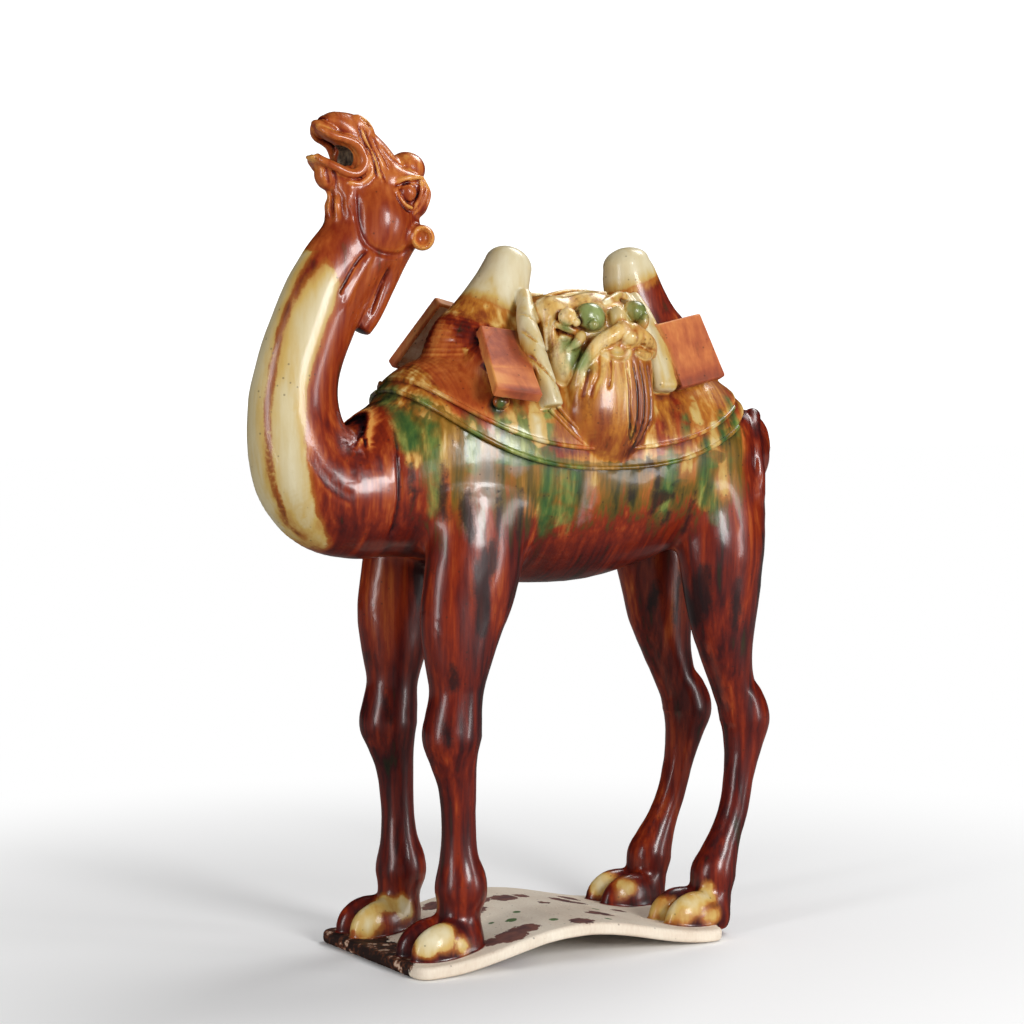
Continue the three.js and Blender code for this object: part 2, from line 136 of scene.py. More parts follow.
def smooth_line(rows, step, axes, least):
    """Points about step apart, along the first axes, on a smooth line through the rows."""
    padded = np.vstack([2 * rows[0] - rows[1], rows, 2 * rows[-1] - rows[-2]])
    out = []
    for i in range(len(rows) - 1):
        a, b, c, d = padded[i:i + 4]
        count = max(least, math.ceil(np.linalg.norm((c - b)[:axes]) / step))
        t = np.arange(count)[:, None] / count
        bend = (2 * a - 5 * b + 4 * c - d) * t**2 + (3 * b - a - 3 * c + d) * t**3
        out.append(0.5 * (2 * b + (c - a) * t + bend))
    return np.vstack([*out, rows[-1:]])


def through_space(points):
    rows = np.array(points, np.float32)
    if len(rows) < 3:
        return rows
    return smooth_line(rows, step=4.0, axes=3, least=1).astype(np.float32)


class Cloud:
    """Points close together, with the box that holds them."""

    def __init__(self, p):
        self.p = p
        self.low = tuple(p.min(0).tolist())
        self.high = tuple(p.max(0).tolist())

    def meets(self, low, high):
        return all(a <= d and b >= c for a, b, c, d in zip(self.low, self.high, low, high))


def reaching(low, high, measure):
    """Measures a cloud near a form's own box, and returns None for one that is far from it."""
    low = tuple(float(v) - REACH for v in low)
    high = tuple(float(v) + REACH for v in high)

    def form(cloud):
        return measure(cloud.p) if cloud.meets(low, high) else None

    return form


def merge(a, b, soft):
    """Union of two distances with a fillet about as wide as soft."""
    if a is None:
        return b
    if b is None:
        return a
    h = np.maximum(soft - np.abs(a - b), 0.0) / soft
    return np.minimum(a, b) - h * h * soft * 0.25


def cut(a, b, soft):
    """The first form without the second."""
    if a is None or b is None:
        return a
    return -merge(-a, b, soft)


def joined(d, cloud, forms):
    """The distance d with pairs of a form and its fillet merged in turn."""
    for form, soft in forms:
        d = merge(d, form(cloud), soft)
    return d


def rise(value, low, high):
    """0 up to low, 1 from high on and even in between; low above high turns it round."""
    return np.clip((value - low) / (high - low), 0, 1)


def tube(stations, aside=0.0, caps=(0.4, 0.4)):
    """An oval body along a line in the plane y = aside."""
    rows = np.array([tuple(s) + (0,) * (5 - len(s)) for s in stations], float)
    x, z, deep, wide, out = smooth_line(rows, step=3.0, axes=2, least=2).T.astype(np.float32)
    middle = aside + out
    widest = max(deep.max(), wide.max())
    low = (x.min() - widest, (middle - wide).min(), z.min() - widest)
    high = (x.max() + widest, (middle + wide).max(), z.max() + widest)
    last = len(x) - 1

    def measure(p):
        middle_x, middle_z = float(p[:, 0].mean()), float(p[:, 2].mean())
        spread = float(np.hypot(np.ptp(p[:, 0]), np.ptp(p[:, 2])))
        away = np.hypot(x - middle_x, z - middle_z)
        close = np.flatnonzero(away <= away.min() + spread + 12)
        best = np.full(len(p), np.inf, np.float32)
        place = np.zeros(len(p), np.float32)
        for i in range(max(close.min() - 1, 0), min(close.max() + 1, last)):
            sx, sz = x[i + 1] - x[i], z[i + 1] - z[i]
            qx, qz = p[:, 0] - x[i], p[:, 2] - z[i]
            t = (qx * sx + qz * sz) * (1 / (sx * sx + sz * sz))
            np.maximum(t, 0, out=t)
            np.minimum(t, 1, out=t)
            gap = (qx - t * sx) ** 2 + (qz - t * sz) ** 2
            closer = gap < best
            np.copyto(best, gap, where=closer)
            np.copyto(place, t + i, where=closer)
        steps = np.arange(last + 1)
        a = np.interp(place, steps, deep)
        b = np.interp(place, steps, wide)
        across = p[:, 1] - np.interp(place, steps, middle)
        past = np.zeros(len(p))
        cap = a * caps[0]
        for end, inner, share in ((0, 1, caps[0]), (last, last - 1, caps[1])):
            way = np.array([x[end] - x[inner], z[end] - z[inner]])
            way /= np.linalg.norm(way)
            beyond = (p[:, 0] - x[end]) * way[0] + (p[:, 2] - z[end]) * way[1]
            at_end = (np.abs(place - end) < 1e-6) & (beyond > 0)
            past[at_end] = beyond[at_end]
            cap[at_end] = a[at_end] * share
        sideways = np.maximum(best - past**2, 0)
        k0 = np.sqrt(sideways / a**2 + across**2 / b**2 + past**2 / cap**2)
        k1 = np.sqrt(sideways / a**4 + across**2 / b**4 + past**2 / cap**4) + 1e-9
        return (k0 * (k0 - 1) / k1).astype(np.float32)

    return reaching(low, high, measure)


def ball(middle, radii, turn=0.0):
    """An ellipsoid, turned about Y."""
    middle = np.array(middle, np.float32)
    radii = np.array(radii, np.float32)
    c, s = math.cos(turn), math.sin(turn)
    reach = max(radii)

    def measure(p):
        q = p - middle
        x = (q[:, 0] * c - q[:, 2] * s) / radii[0]
        y = q[:, 1] / radii[1]
        z = (q[:, 0] * s + q[:, 2] * c) / radii[2]
        k0 = np.sqrt(x * x + y * y + z * z)
        k1 = np.sqrt((x / radii[0]) ** 2 + (y / radii[1]) ** 2 + (z / radii[2]) ** 2) + 1e-9
        return k0 * (k0 - 1) / k1

    return reaching(middle - reach, middle + reach, measure)


def strand_gap(p, points, flat=1.0):
    """Distance to a bent line and the share of the way along it; flat below 1 forgives an offset in y."""
    best = np.full(len(p), np.inf, np.float32)
    place = np.zeros(len(p), np.float32)
    weigh = np.array([1, flat, 1], np.float32)
    last = len(points) - 1
    for i in range(last):
        way = (points[i + 1] - points[i]) * weigh
        q = (p - points[i]) * weigh
        t = np.minimum(np.maximum(q @ (way / (way @ way)), 0), 1)
        q -= t[:, None] * way
        gap = np.einsum("ij,ij->i", q, q)
        closer = gap < best
        np.copyto(best, gap, where=closer)
        np.copyto(place, (t + i) / last, where=closer)
    return np.sqrt(best), place


def strand(points, radii):
    """A rounded cord along points in space, its radius running through radii."""
    line = through_space(points)
    shares = np.linspace(0, 1, len(line))
    sizes = np.interp(shares, np.linspace(0, 1, len(radii)), radii)
    reach = max(radii)

    def measure(p):
        gap, place = strand_gap(p, line)
        return gap - np.interp(place, shares, sizes)

    return reaching(line.min(0) - reach, line.max(0) + reach, measure)


def scored(points, width, depth):
    """A groove along points on the surface, or a ridge where depth is below zero."""
    line = through_space(points)
    margin = (3 * width, 3 * width + 8, 3 * width)
    low, high = line.min(0) - margin, line.max(0) + margin

    def change(cloud, d):
        if not cloud.meets(low.tolist(), high.tolist()):
            return d
        p = cloud.p
        near = np.all((p > low) & (p < high), axis=1)
        if near.any():
            gap, place = strand_gap(p[near], line, 0.35)
            ends = np.clip(np.minimum(place, 1 - place) * 8 + 0.25, 0, 1)
            d[near] += depth * ends * np.exp(-((gap / width) ** 2))
        return d

    return change


def slab(middle, size, turn, rounding, taper=0.0):
    """A rounded box, narrower at the top; turn takes its own axes to the figure's."""
    middle = np.array(middle, np.float32)
    half = np.array(size, np.float32) / 2 - rounding
    reach = np.linalg.norm(half) + rounding

    def measure(p):
        q = (p - middle) @ turn
        q[:, 0] /= 1 - taper * np.clip(q[:, 2] / half[2], -1, 1)
        q = np.abs(q) - half
        outside = np.linalg.norm(np.maximum(q, 0), axis=1)
        return outside + np.minimum(q.max(1), 0) - rounding

    return reaching(middle - reach, middle + reach, measure)


def about_x(angle):
    c, s = math.cos(angle), math.sin(angle)
    return np.array([[1, 0, 0], [0, c, -s], [0, s, c]], np.float32)


def about_y(angle):
    c, s = math.cos(angle), math.sin(angle)
    return np.array([[c, 0, s], [0, 1, 0], [-s, 0, c]], np.float32)


LATTICE = np.random.default_rng(11).random((32, 32, 32)).astype(np.float32)


def lumps(p, size):
    """Smooth noise from -1 to 1, with hills about size millimetres apart."""
    q = p / size
    low = np.floor(q).astype(int)
    f = (q - low).astype(np.float32)
    f = f * f * (3 - 2 * f)
    a, b = low & 31, (low + 1) & 31
    total = 0.0
    for ix, wx in ((a[:, 0], 1 - f[:, 0]), (b[:, 0], f[:, 0])):
        for iy, wy in ((a[:, 1], 1 - f[:, 1]), (b[:, 1], f[:, 1])):
            for iz, wz in ((a[:, 2], 1 - f[:, 2]), (b[:, 2], f[:, 2])):
                total = total + LATTICE[ix, iy, iz] * wx * wy * wz
    return total * 2 - 1


def mirrored(cloud):
    """Both sides folded over to the far one, so that a form is made once."""
    q = cloud.p.copy()
    q[:, 1] = np.abs(q[:, 1])
    return Cloud(q)


# The base plate

def underside(x):
    """Height of the plate's lower side, which arches up along x."""
    share = np.clip((x - ARCH_MIDDLE) / (ARCH_LENGTH / 2), -1, 1)
    return ARCH_RISE * np.cos(share * math.pi / 2) ** 2


def plate_form(p):
    low = underside(p[:, 0])
    up_down = np.maximum(low - p[:, 2], p[:, 2] - low - PLATE_THICKNESS)
    q = np.abs(p[:, :2]) - (PLATE_HALF[0] - PLATE_CORNER, PLATE_HALF[1] - PLATE_CORNER)
    plan = np.linalg.norm(np.maximum(q, 0), axis=1) + np.minimum(q.max(1), 0) - PLATE_CORNER
    plan = plan + 0.8 * lumps(p, 19.0)
    return -merge(-up_down, -plan, 5.0)


base_plate = reaching(
    (-PLATE_HALF[0], -PLATE_HALF[1], 0), (*PLATE_HALF, ARCH_RISE + PLATE_THICKNESS), plate_form)

# Legs and feet, made once and mirrored

fore_leg = tube(FORELEG, FORE_SPREAD)
hind_leg = tube(HIND_LEG, HIND_SPREAD)


def foot_forms(ankle, aside):
    front = ankle - 29
    floor = float(underside(np.array(front))) + PLATE_THICKNESS - 2
    toes = [ball((front, aside + s * 15, floor + 7), (36, 17, 29), -0.12) for s in (-1, 1)]
    pad = ball((ankle, aside, floor + 10), (21, 26, 28))
    return toes, pad


FORE_FOOT = foot_forms(FOREFOOT_ANKLE, FORE_SPREAD)
HIND_FOOT = foot_forms(HINDFOOT_ANKLE, HIND_SPREAD + 3)


def leg_with_foot(q, leg, foot):
    toes, pad = foot
    both = merge(toes[0](q), toes[1](q), 4.0)
    return merge(leg(q), merge(both, pad(q), 8.0), 9.0)


# Head, made once and mirrored

HEAD_FORMS = [
    # form, fillet
    (tube(SKULL, caps=(0.4, 0.5)), 9),
    (tube(JAW, caps=(0.4, 0.8)), 9),
    (ball((-201, 0, 822), (19, 17, 16)), 6),  # muzzle
    (tube(THROAT), 12),
    (ball((-205, 0, 746), (13, 15, 22)), 7),  # under the jaw
    (ball((-172, 19, 736), (25, 19, 31)), 7),  # cheek
    (ball((-136, 0, 787), (19, 19, 17.5)), 6),  # crest
    (ball((-150, 21, 775), (20, 10, 9), 0.1), 7),  # brow bone
    (ball((-134, 23, 757), (10, 9, 17)), 7),  # temple
    (ball((-226, 0, 776), (10, 11, 13), -0.4), 6),  # chin
    (ball((-190, 13, 827), (13, 6, 6), 0.75), 5),  # wing of the nostril
]
mane = tube(MANE, caps=(0.4, 0.3))
nostril = ball((-190, 18, 830), (8, 4, 2.0), 0.75)
ear_cup = ball((-135, 31, 718), (12.5, 12, 12.5))
ear_hole = ball((-138.6, 38, 717.5), (8, 8, 8.6))
UPPER_LID = [(-165, 28, 771), (-158, 31, 774), (-150, 33, 776), (-142, 33, 777), (-134, 30, 777)]
EYE_ROPES = [
    [(-137, 30, 776), (-136, 32, 767), (-139, 30, 755), (-144, 28, 746)],
    [(-134, 29, 777), (-131, 31, 766), (-134, 30, 753), (-142, 27, 742)],
    [(-131, 27, 775), (-127, 29, 763), (-129, 28, 751), (-137, 25, 740)],
]
LOWER_LID = [(-163, 29, 767), (-161, 32, 758), (-155, 33, 750), (-147, 31, 747)]
BEARD = [
    [(-219, 5, 766), (-217, 8, 757), (-219, 11, 749), (-218, 11, 738)],
    [(-214, 11, 765), (-210, 16, 756), (-211, 18, 748), (-208, 19, 738)],
    [(-223, 0, 764), (-221, 1, 754), (-223, 2, 745), (-221, 2, 736)],
]
HEAD_FORMS += [(strand(lock, (1.0, 2.0, 2.0, 1.0)), 3.5) for lock in BEARD]
EYE_FORMS = [
    (ball((-151, 29.5, 762), (9, 8.5, 9.5)), 1),
    (strand(UPPER_LID, (1.4, 2.2, 2.4, 2.2, 1.6)), 1.5),
    *[(strand(rope, (1.6, 2.6, 2.5, 1.3)), 1) for rope in EYE_ROPES],
    (strand(LOWER_LID, (1.2, 2.0, 1.5)), 1.5),
]

# The mouth hangs open a little askew, so it is made in leaning space

MOUTH_LEAN = 0.28
MOUTH = [(-216, 0, 796), (-226, 0, 800), (-236, 0, 805), (-266, 0, 817)]
LIP = [
    (-237, 6, 795), (-236, 11, 791.5), (-231, 14.5, 788.5), (-224, 17, 784), (-214, 18.5, 779),
    (-205, 19.5, 780), (-199, 20, 788), (-199.5, 20, 797), (-206, 19, 807), (-216, 17.5, 812),
    (-226, 15.5, 815), (-232, 12.5, 819), (-236, 7, 823),
]
LIP_FOLD = [(-214, 19, 770), (-203, 20, 770), (-194, 22, 779), (-193, 22, 793), (-199, 20.5, 806)]
mouth_line = through_space(MOUTH)
lip = strand(LIP, (2.6, 3.8, 4.4, 4.6, 4.4, 4.0, 2.6))
lip_fold = strand(LIP_FOLD, (1.2, 2.4, 2.6, 1.4))
gullet = ball((-207, 0, 796), (12, 10.5, 12))
mouth_corner = ball((-192, 14, 792), (12, 9, 17))
palate = ball((-222, 0, 820), (20, 14.5, 7), 0.49)


def leaning(cloud):
    """The space of the mouth, folded over as the head is."""
    q = cloud.p.copy()
    q[:, 0] += MOUTH_LEAN * np.clip((q[:, 0] + 236) / 26, 0, 1) * q[:, 1]
    q[:, 1] = np.abs(q[:, 1])
    return Cloud(q)


def mouth_slot(cloud):
    """The open mouth, cut right across."""
    if not cloud.meets((-300, 0, 750), (-170, 60, 860)):
        return None
    flat = cloud.p * (1, 0, 1)
    gap, place = strand_gap(flat.astype(np.float32), mouth_line)
    return gap - np.interp(place, (0, 0.3, 1), (11, 9.5, 15))


HEAD_LINES = [
    # points, width and depth; first down the cheek from the nostril
    scored([(-199, 18, 825), (-195, 20, 813), (-188, 22, 800), (-184, 23, 787), (-182, 25, 776)], 1.7, 2.2),
    scored([(-196, 17, 824), (-191, 20, 810), (-185, 23, 797), (-181, 25, 784), (-178, 27, 773)], 1.6, -1.2),
    scored([(-192, 16, 822), (-187, 20, 807), (-181, 23, 793), (-177, 26, 780), (-174, 28, 769)], 1.7, 2.0),
    scored([(-183, 13, 817), (-179, 19, 805), (-173, 23, 794), (-168, 26, 783)], 1.7, 1.4),
    scored([(-198, 19, 818), (-194, 21, 807), (-191, 21, 796)], 1.4, 1.4),
    scored([(-176, 13, 808), (-166, 17, 797), (-154, 20, 790), (-141, 22, 787)], 2.2, 1.4),
    # around the eye
    scored([(-166, 28, 767), (-160, 31, 769), (-152, 33, 771), (-144, 33, 772), (-139, 31, 772)], 1.4, 1.8),
    scored([(-166, 27, 762), (-163, 30, 754), (-156, 31, 746), (-147, 29, 743)], 1.6, 1.8),
    # under jaw and cheek
    scored([
        (-203, 19, 764), (-202, 23, 748), (-202, 26, 730), (-198, 28, 714), (-188, 30, 705), (-172, 31, 701),
        (-156, 29, 702), (-146, 26, 709),
    ], 3.4, 2.6),
    scored([(-231, 6, 785), (-229, 9, 777), (-226, 9, 768)], 1.6, 1.6),
    scored([(-224, 11, 783), (-221, 13, 774), (-220, 12, 766)], 1.6, 1.6),
    # neck
    scored([(-196, 29, 704), (-208, 30, 691), (-219, 30, 674), (-229, 30, 658)], 1.9, 3.0),
    scored([(-190, 29, 702), (-200, 29, 686), (-211, 30, 669), (-222, 30, 648)], 3.6, -2.2),
    scored([(-166, 17, 690), (-175, 16, 667), (-184, 14, 642)], 2.4, 2.4),
]


def head_form(p, q):
    """The head from a cloud p and the same cloud q folded over to one side."""
    d = joined(None, q, HEAD_FORMS)
    if d is not None and p.meets((-300, -60, 740), (-165, 60, 850)):
        r = leaning(p)
        d = merge(d, mouth_corner(r), 5.0)
        d = cut(d, mouth_slot(r), 2.0)
        d = joined(d, r, [(palate, 2), (lip, 3), (lip_fold, 3)])
        d = cut(d, gullet(r), 2.0)
    d = cut(d, nostril(q), 1.5)
    d = joined(d, q, EYE_FORMS)
    d = merge(d, ear_cup(q), 7.0)
    return cut(d, ear_hole(q), 2.5)


# Saddle cloth: the trunk's own skin moved outwards, above a rim that dips at the flank

trunk = tube(TRUNK, caps=(0.3, 0.3))


def rim_height(x):
    reach = np.where(x < 40, 195.0, 216.0)
    return 511 + 73 * np.minimum(np.abs(x - 40) / reach, 1.4) ** 2.5


def cloth_forms(p, from_trunk):
    """Blanket and pad, from the distance to the bare trunk."""
    rim = rim_height(p[:, 0])
    drop = p[:, 2] - rim
    cloth = -merge(-(from_trunk - BLANKET), drop + RIM_GAP, 3.0)
    pad = -merge(-(from_trunk - PAD), drop, 3.0)
    return merge(cloth, pad, 4.0)


# Saddle boards

BOARDS = [
    # x, y, z, length, height, splay, tilt, taper
    (-66, -79, 595, 46, 97, 48, 11, 0.08),
    (-65, 80, 624, 44, 88, 38, 15, 0.12),
    (150, -80, 608, 59, 71, 20, -13, 0),
    (150, 80, 608, 59, 71, 20, -13, 0),
]
BOARD_THICKNESS = 12.0


def board_forms():
    """Each board's body, the recess in its back, the pad behind it and its own place."""
    made = []
    for x, y, z, length, height, splay, tilt, taper in BOARDS:
        side = math.copysign(1, y)
        middle = np.array([x, y, z])
        turn = about_x(math.radians(splay) * side) @ about_y(math.radians(tilt))
        outer = slab(middle, (length, BOARD_THICKNESS, height), turn, 2.2, taper)
        inner_middle = middle + turn @ np.array([0, -side * 6, 0])
        inner = slab(inner_middle, (length - 10, BOARD_THICKNESS, height - 10), turn, 1.0, taper)
        pad = ball((x, side * (abs(y) - 34), z - 16), (34, 35, 38))
        if x < 0 < y:
            pad = ball((x + 4, y - 42, z - 46), (32, 40, 30))
        made.append((outer, inner, pad, (middle, turn, length / 2, height / 2)))
    return made


BOARD_FORMS = board_forms()

# Rolls that hang down between boards and mask

FRONT_ROLL = [(-18, 32, 664), (-33, 62, 632), (-35, 81, 604), (-32, 91, 582), (-27, 99, 556)]
REAR_BOLSTER = [(106, 38, 664), (105, 60, 643), (109, 79, 609), (112, 91, 575)]
front_roll = strand(FRONT_ROLL, (7, 10, 11, 10.5, 10.5))
bolster_halves = [
    strand([(x + aside, y, z) for x, y, z in REAR_BOLSTER], (6, 7.5, 8.5, 8.5)) for aside in (-5.5, 6.0)
]
cushion = ball((46, 0, 602), (104, 84, 66))
roll_foot = slab((-25, 99, 536), (40, 40, 32), about_x(0.24), 2)
bolster_foot = slab((113, 90, 552), (48, 50, 26), about_x(0.3), 2)
ROLL_LINES = [
    scored([(-46, 68, 630), (-40, 80, 620), (-30, 84, 610), (-20, 80, 604)], 1.3, 2.6),
    scored([(-45, 86, 604), (-38, 95, 592), (-28, 100, 580), (-18, 98, 572)], 1.3, 2.8),
    scored([(-40, 56, 646), (-32, 66, 640), (-22, 66, 634)], 1.2, 2.0),
    scored([(-31, 100, 590), (-27, 106, 572), (-26, 108, 560)], 1.2, 1.6),
    scored([(105, 74, 640), (108, 92, 608), (112, 104, 580)], 1.6, 2.0),
]


def bolster(cloud):
    d = merge(bolster_halves[0](cloud), bolster_halves[1](cloud), 5.0)
    return cut(d, bolster_foot(cloud), 2.0)


def squared_roll(cloud):
    return cut(front_roll(cloud), roll_foot(cloud), 2.0)


# Monster mask over each flank, and the pleated pouch under it

MASK = [
    # middle, radii, turn, fillet
    ((44, 60, 620), (54, 34, 48), 0, 10),
    ((1, 78, 597), (19, 17, 27), 0, 9),
    ((4, 56, 643), (26, 22, 20), 0.3, 8),
    ((25, 87, 641), (17, 13, 15), 0.2, 1.5),
    ((22, 98, 634), (6, 5.5, 6), 0, 0.8),
    ((-1, 86, 641), (9.5, 9, 9.5), 0, 1.5),
    ((5, 93, 636), (4.5, 4, 4.5), 0, 1),
    ((83, 78, 648), (13, 13, 11), -0.2, 1.5),
    ((88, 88, 638), (6, 7, 10), 0.2, 2),
    ((52, 95, 641), (9, 11, 12), 0, 5),
    ((57, 111, 621), (12, 11, 9), 0, 4),
]
MASK_RIDGES = [
    # points, radii, fillet
    ([(2, 96, 572), (7, 99, 589), (15, 103, 604), (24, 106, 615), (37, 110, 623), (50, 111, 630)],
     (3, 5, 6, 7, 8, 8), 3),
    ([(60, 111, 628), (74, 109, 621), (88, 102, 613), (95, 96, 604)], (8, 8, 7, 4), 3),
    ([(20, 103, 609), (28, 108, 605), (37, 112, 602), (46, 115, 602), (52, 116, 607)],
     (2.5, 3.6, 4, 4, 3), 2),
    ([(64, 115, 606), (73, 112, 603), (83, 106, 604), (92, 99, 609)], (3, 4, 4, 3), 2),
    ([(-8, 80, 634), (2, 86, 629), (11, 89, 625)], (4, 4.5, 3.5), 1),
    ([(11, 92, 622), (6, 94, 616), (-5, 92, 608)], (6, 5, 2), 1),
    ([(-12, 72, 626), (-11, 76, 615), (-7, 79, 604)], (5, 5.5, 4), 2),
]
MASK_HOLES = [
    ball((41, 116, 613), (3.4, 5, 2.8)),
    ball((71, 113, 613), (3.4, 5, 2.8)),
    ball((-5, 88, 621), (5, 6, 3.5)),
]
HAIR = [
    [(-24, 64, 620), (-23, 60, 636), (-15, 52, 651), (0, 46, 661), (22, 44, 667), (50, 44, 669)],
    [(-17, 72, 610), (-17, 70, 628), (-11, 63, 643), (0, 57, 655), (18, 54, 663), (42, 54, 666),
     (66, 52, 667)],
    [(-12, 78, 614), (-12, 76, 628), (-8, 72, 641), (2, 67, 652), (18, 64, 659), (36, 66, 663),
     (58, 70, 660)],
    [(46, 82, 657), (60, 74, 661), (76, 64, 665), (94, 54, 661)],
]
MASK_FORMS = [(ball(middle, radii, turn), soft) for middle, radii, turn, soft in MASK]
MASK_FORMS += [(strand(points, radii), soft) for points, radii, soft in MASK_RIDGES]
MASK_FORMS += [(strand(lock, (2.0, 3.4, 3.8, 3.6, 2.0)), 3.0) for lock in HAIR]
pouch = tube(POUCH, 92.0, caps=(0.3, 0.3))
POUCH_LINES = [
    scored([(49, 117, 598), (50, 121, 576), (50, 123, 547), (53, 119, 520), (54, 112, 504)], 1.7, 3.4),
    scored([(57, 117, 598), (60, 119, 574), (60, 121, 545), (58, 117, 519), (55, 112, 504)], 1.5, 3.0),
    scored([(66, 115, 597), (70, 116, 571), (70, 117, 543), (65, 114, 520), (57, 112, 505)], 1.7, 3.2),
    scored([(76, 112, 595), (82, 111, 568), (81, 111, 540), (73, 111, 519), (60, 112, 506)], 1.6, 2.6),
    scored([(86, 106, 590), (92, 105, 562), (90, 106, 536), (80, 108, 518)], 1.6, 2.2),
    scored([(22, 110, 599), (19, 115, 584), (12, 114, 570), (9, 112, 560)], 2.6, 2.0),
    scored([(12, 102, 590), (6, 106, 572), (3, 107, 560)], 2.2, 1.6),
    scored([(33, 113, 600), (31, 118, 585), (27, 119, 570)], 1.8, 1.8),
]


def pack_forms(q):
    """Cushion, mask, pouch and rolls of one side."""
    d = joined(cushion(q), q, MASK_FORMS[:3])
    bag = pouch(q)
    if bag is not None:
        x, y, z = q.p.T
        around = np.arctan2(y - 92, x - 48)
        bag = bag + 0.5 * rise(z, 600, 560) * rise(x, 40, 52) * np.cos(22 * around + 0.04 * (z - 540))
    d = joined(merge(d, bag, 3.0), q, MASK_FORMS[3:])
    for hole in MASK_HOLES:
        d = cut(d, hole(q), 1.5)
    d = merge(d, squared_roll(q), 2.0)
    d = merge(d, bolster(q), 2.0)
    if d is not None:
        for line in ROLL_LINES + POUCH_LINES:
            d = line(q, d)
    return d


neck = tube(NECK)
front_hump = tube(FRONT_HUMP, caps=(0.4, 0.78))
rear_hump = tube(REAR_HUMP, caps=(0.4, 0.68))
knot = ball((-81, -92, 557), (9, 6, 7))
TAIL_END = [(258, -44, 541), (245, -62, 522), (243, -71, 502), (244, -77, 483), (241, -80, 463)]
BODY_FORMS = [
    # form, fillet
    (neck, 26),
    (ball((-172, 0, 498), (36, 44, 41)), 22),  # withers
    (front_hump, 16),
    (rear_hump, 16),
    (tube(TAIL, caps=(0.4, 0.6)), 12),
    (strand(TAIL_END, (9, 9, 8, 5.5, 1.5)), 3),
]
BODY_LINES = [
    # neck crease, shoulder seam and the top of the foreleg
    scored([(-266, 43, 508), (-258, 48, 489), (-245, 54, 473), (-226, 58, 461)], 2.2, 2.2),
    scored([(-267, 43, 500), (-260, 47, 483), (-247, 53, 467), (-228, 57, 456)], 2.4, -1.4),
    scored([
        (-177, 45, 530), (-180, 57, 505), (-181, 63, 484), (-181, 63, 464), (-182, 56, 441), (-182, 50, 426),
    ], 2.2, 2.4),
]


def figure_form(points):
    """Distance from the figure's surface, below zero inside."""
    p = Cloud(points)
    q = mirrored(p)
    from_trunk = trunk(p)
    d = joined(from_trunk, p, BODY_FORMS)
    legs = leg_with_foot(q, fore_leg, FORE_FOOT)
    legs = merge(legs, leg_with_foot(q, hind_leg, HIND_FOOT), 1.0)
    d = merge(d, legs, 20.0)
    d = merge(d, head_form(p, q), 16.0)
    d = merge(d, mane(q), np.interp(points[:, 2], (640, 700), (4.0, 14.0)))
    if d is None:
        d = np.full(len(points), FAR, np.float32)
    if from_trunk is not None:
        d = merge(d, cloth_forms(points, from_trunk), 2.0)
    for line in HEAD_LINES + BODY_LINES:
        d = line(q, d)
    d = merge(d, pack_forms(q), 5.0)
    d = merge(d, knot(p), 2.0)
    d = d + 0.5 * lumps(points, 27.0) + 0.25 * lumps(points, 11.0)
    for outer, inner, pad, _ in BOARD_FORMS:
        d = merge(d, pad(p), 6.0)
        whole, hollow = outer(p), inner(p)
        if whole is not None:
            if hollow is not None:
                whole = np.maximum(whole, -hollow)
            d = merge(d, whole, 2.0)
    d = np.maximum(d, underside(points[:, 0]) + PLATE_THICKNESS / 2 - points[:, 2])
    d = merge(d, base_plate(p), 4.0)
    return np.asarray(d, np.float32)


# From distance to skin

def in_bricks(p, measure):
    """Works through the points brick by brick, so that each brick meets few forms."""
    size = min(max(math.sqrt(2.25e9 / len(p)), 40), 120)  # larger bricks for fewer points
    out = np.empty(len(p), np.float32)
    cell = np.floor(p / size).astype(np.int64)
    cell -= cell.min(0)
    key = (cell[:, 0] * 64 + cell[:, 1]) * 64 + cell[:, 2]
    order = np.argsort(key, kind="stable")
    breaks = np.flatnonzero(np.diff(key[order])) + 1
    for group in np.split(order, breaks):
        out[group] = measure(p[group])
    return out


CORNERS = np.array([(i, j, k) for i in (0, 1) for j in (0, 1) for k in (0, 1)])
EDGES = [(a, b) for a in range(8) for b in range(a + 1, 8) if np.abs(CORNERS[a] - CORNERS[b]).sum() == 1]


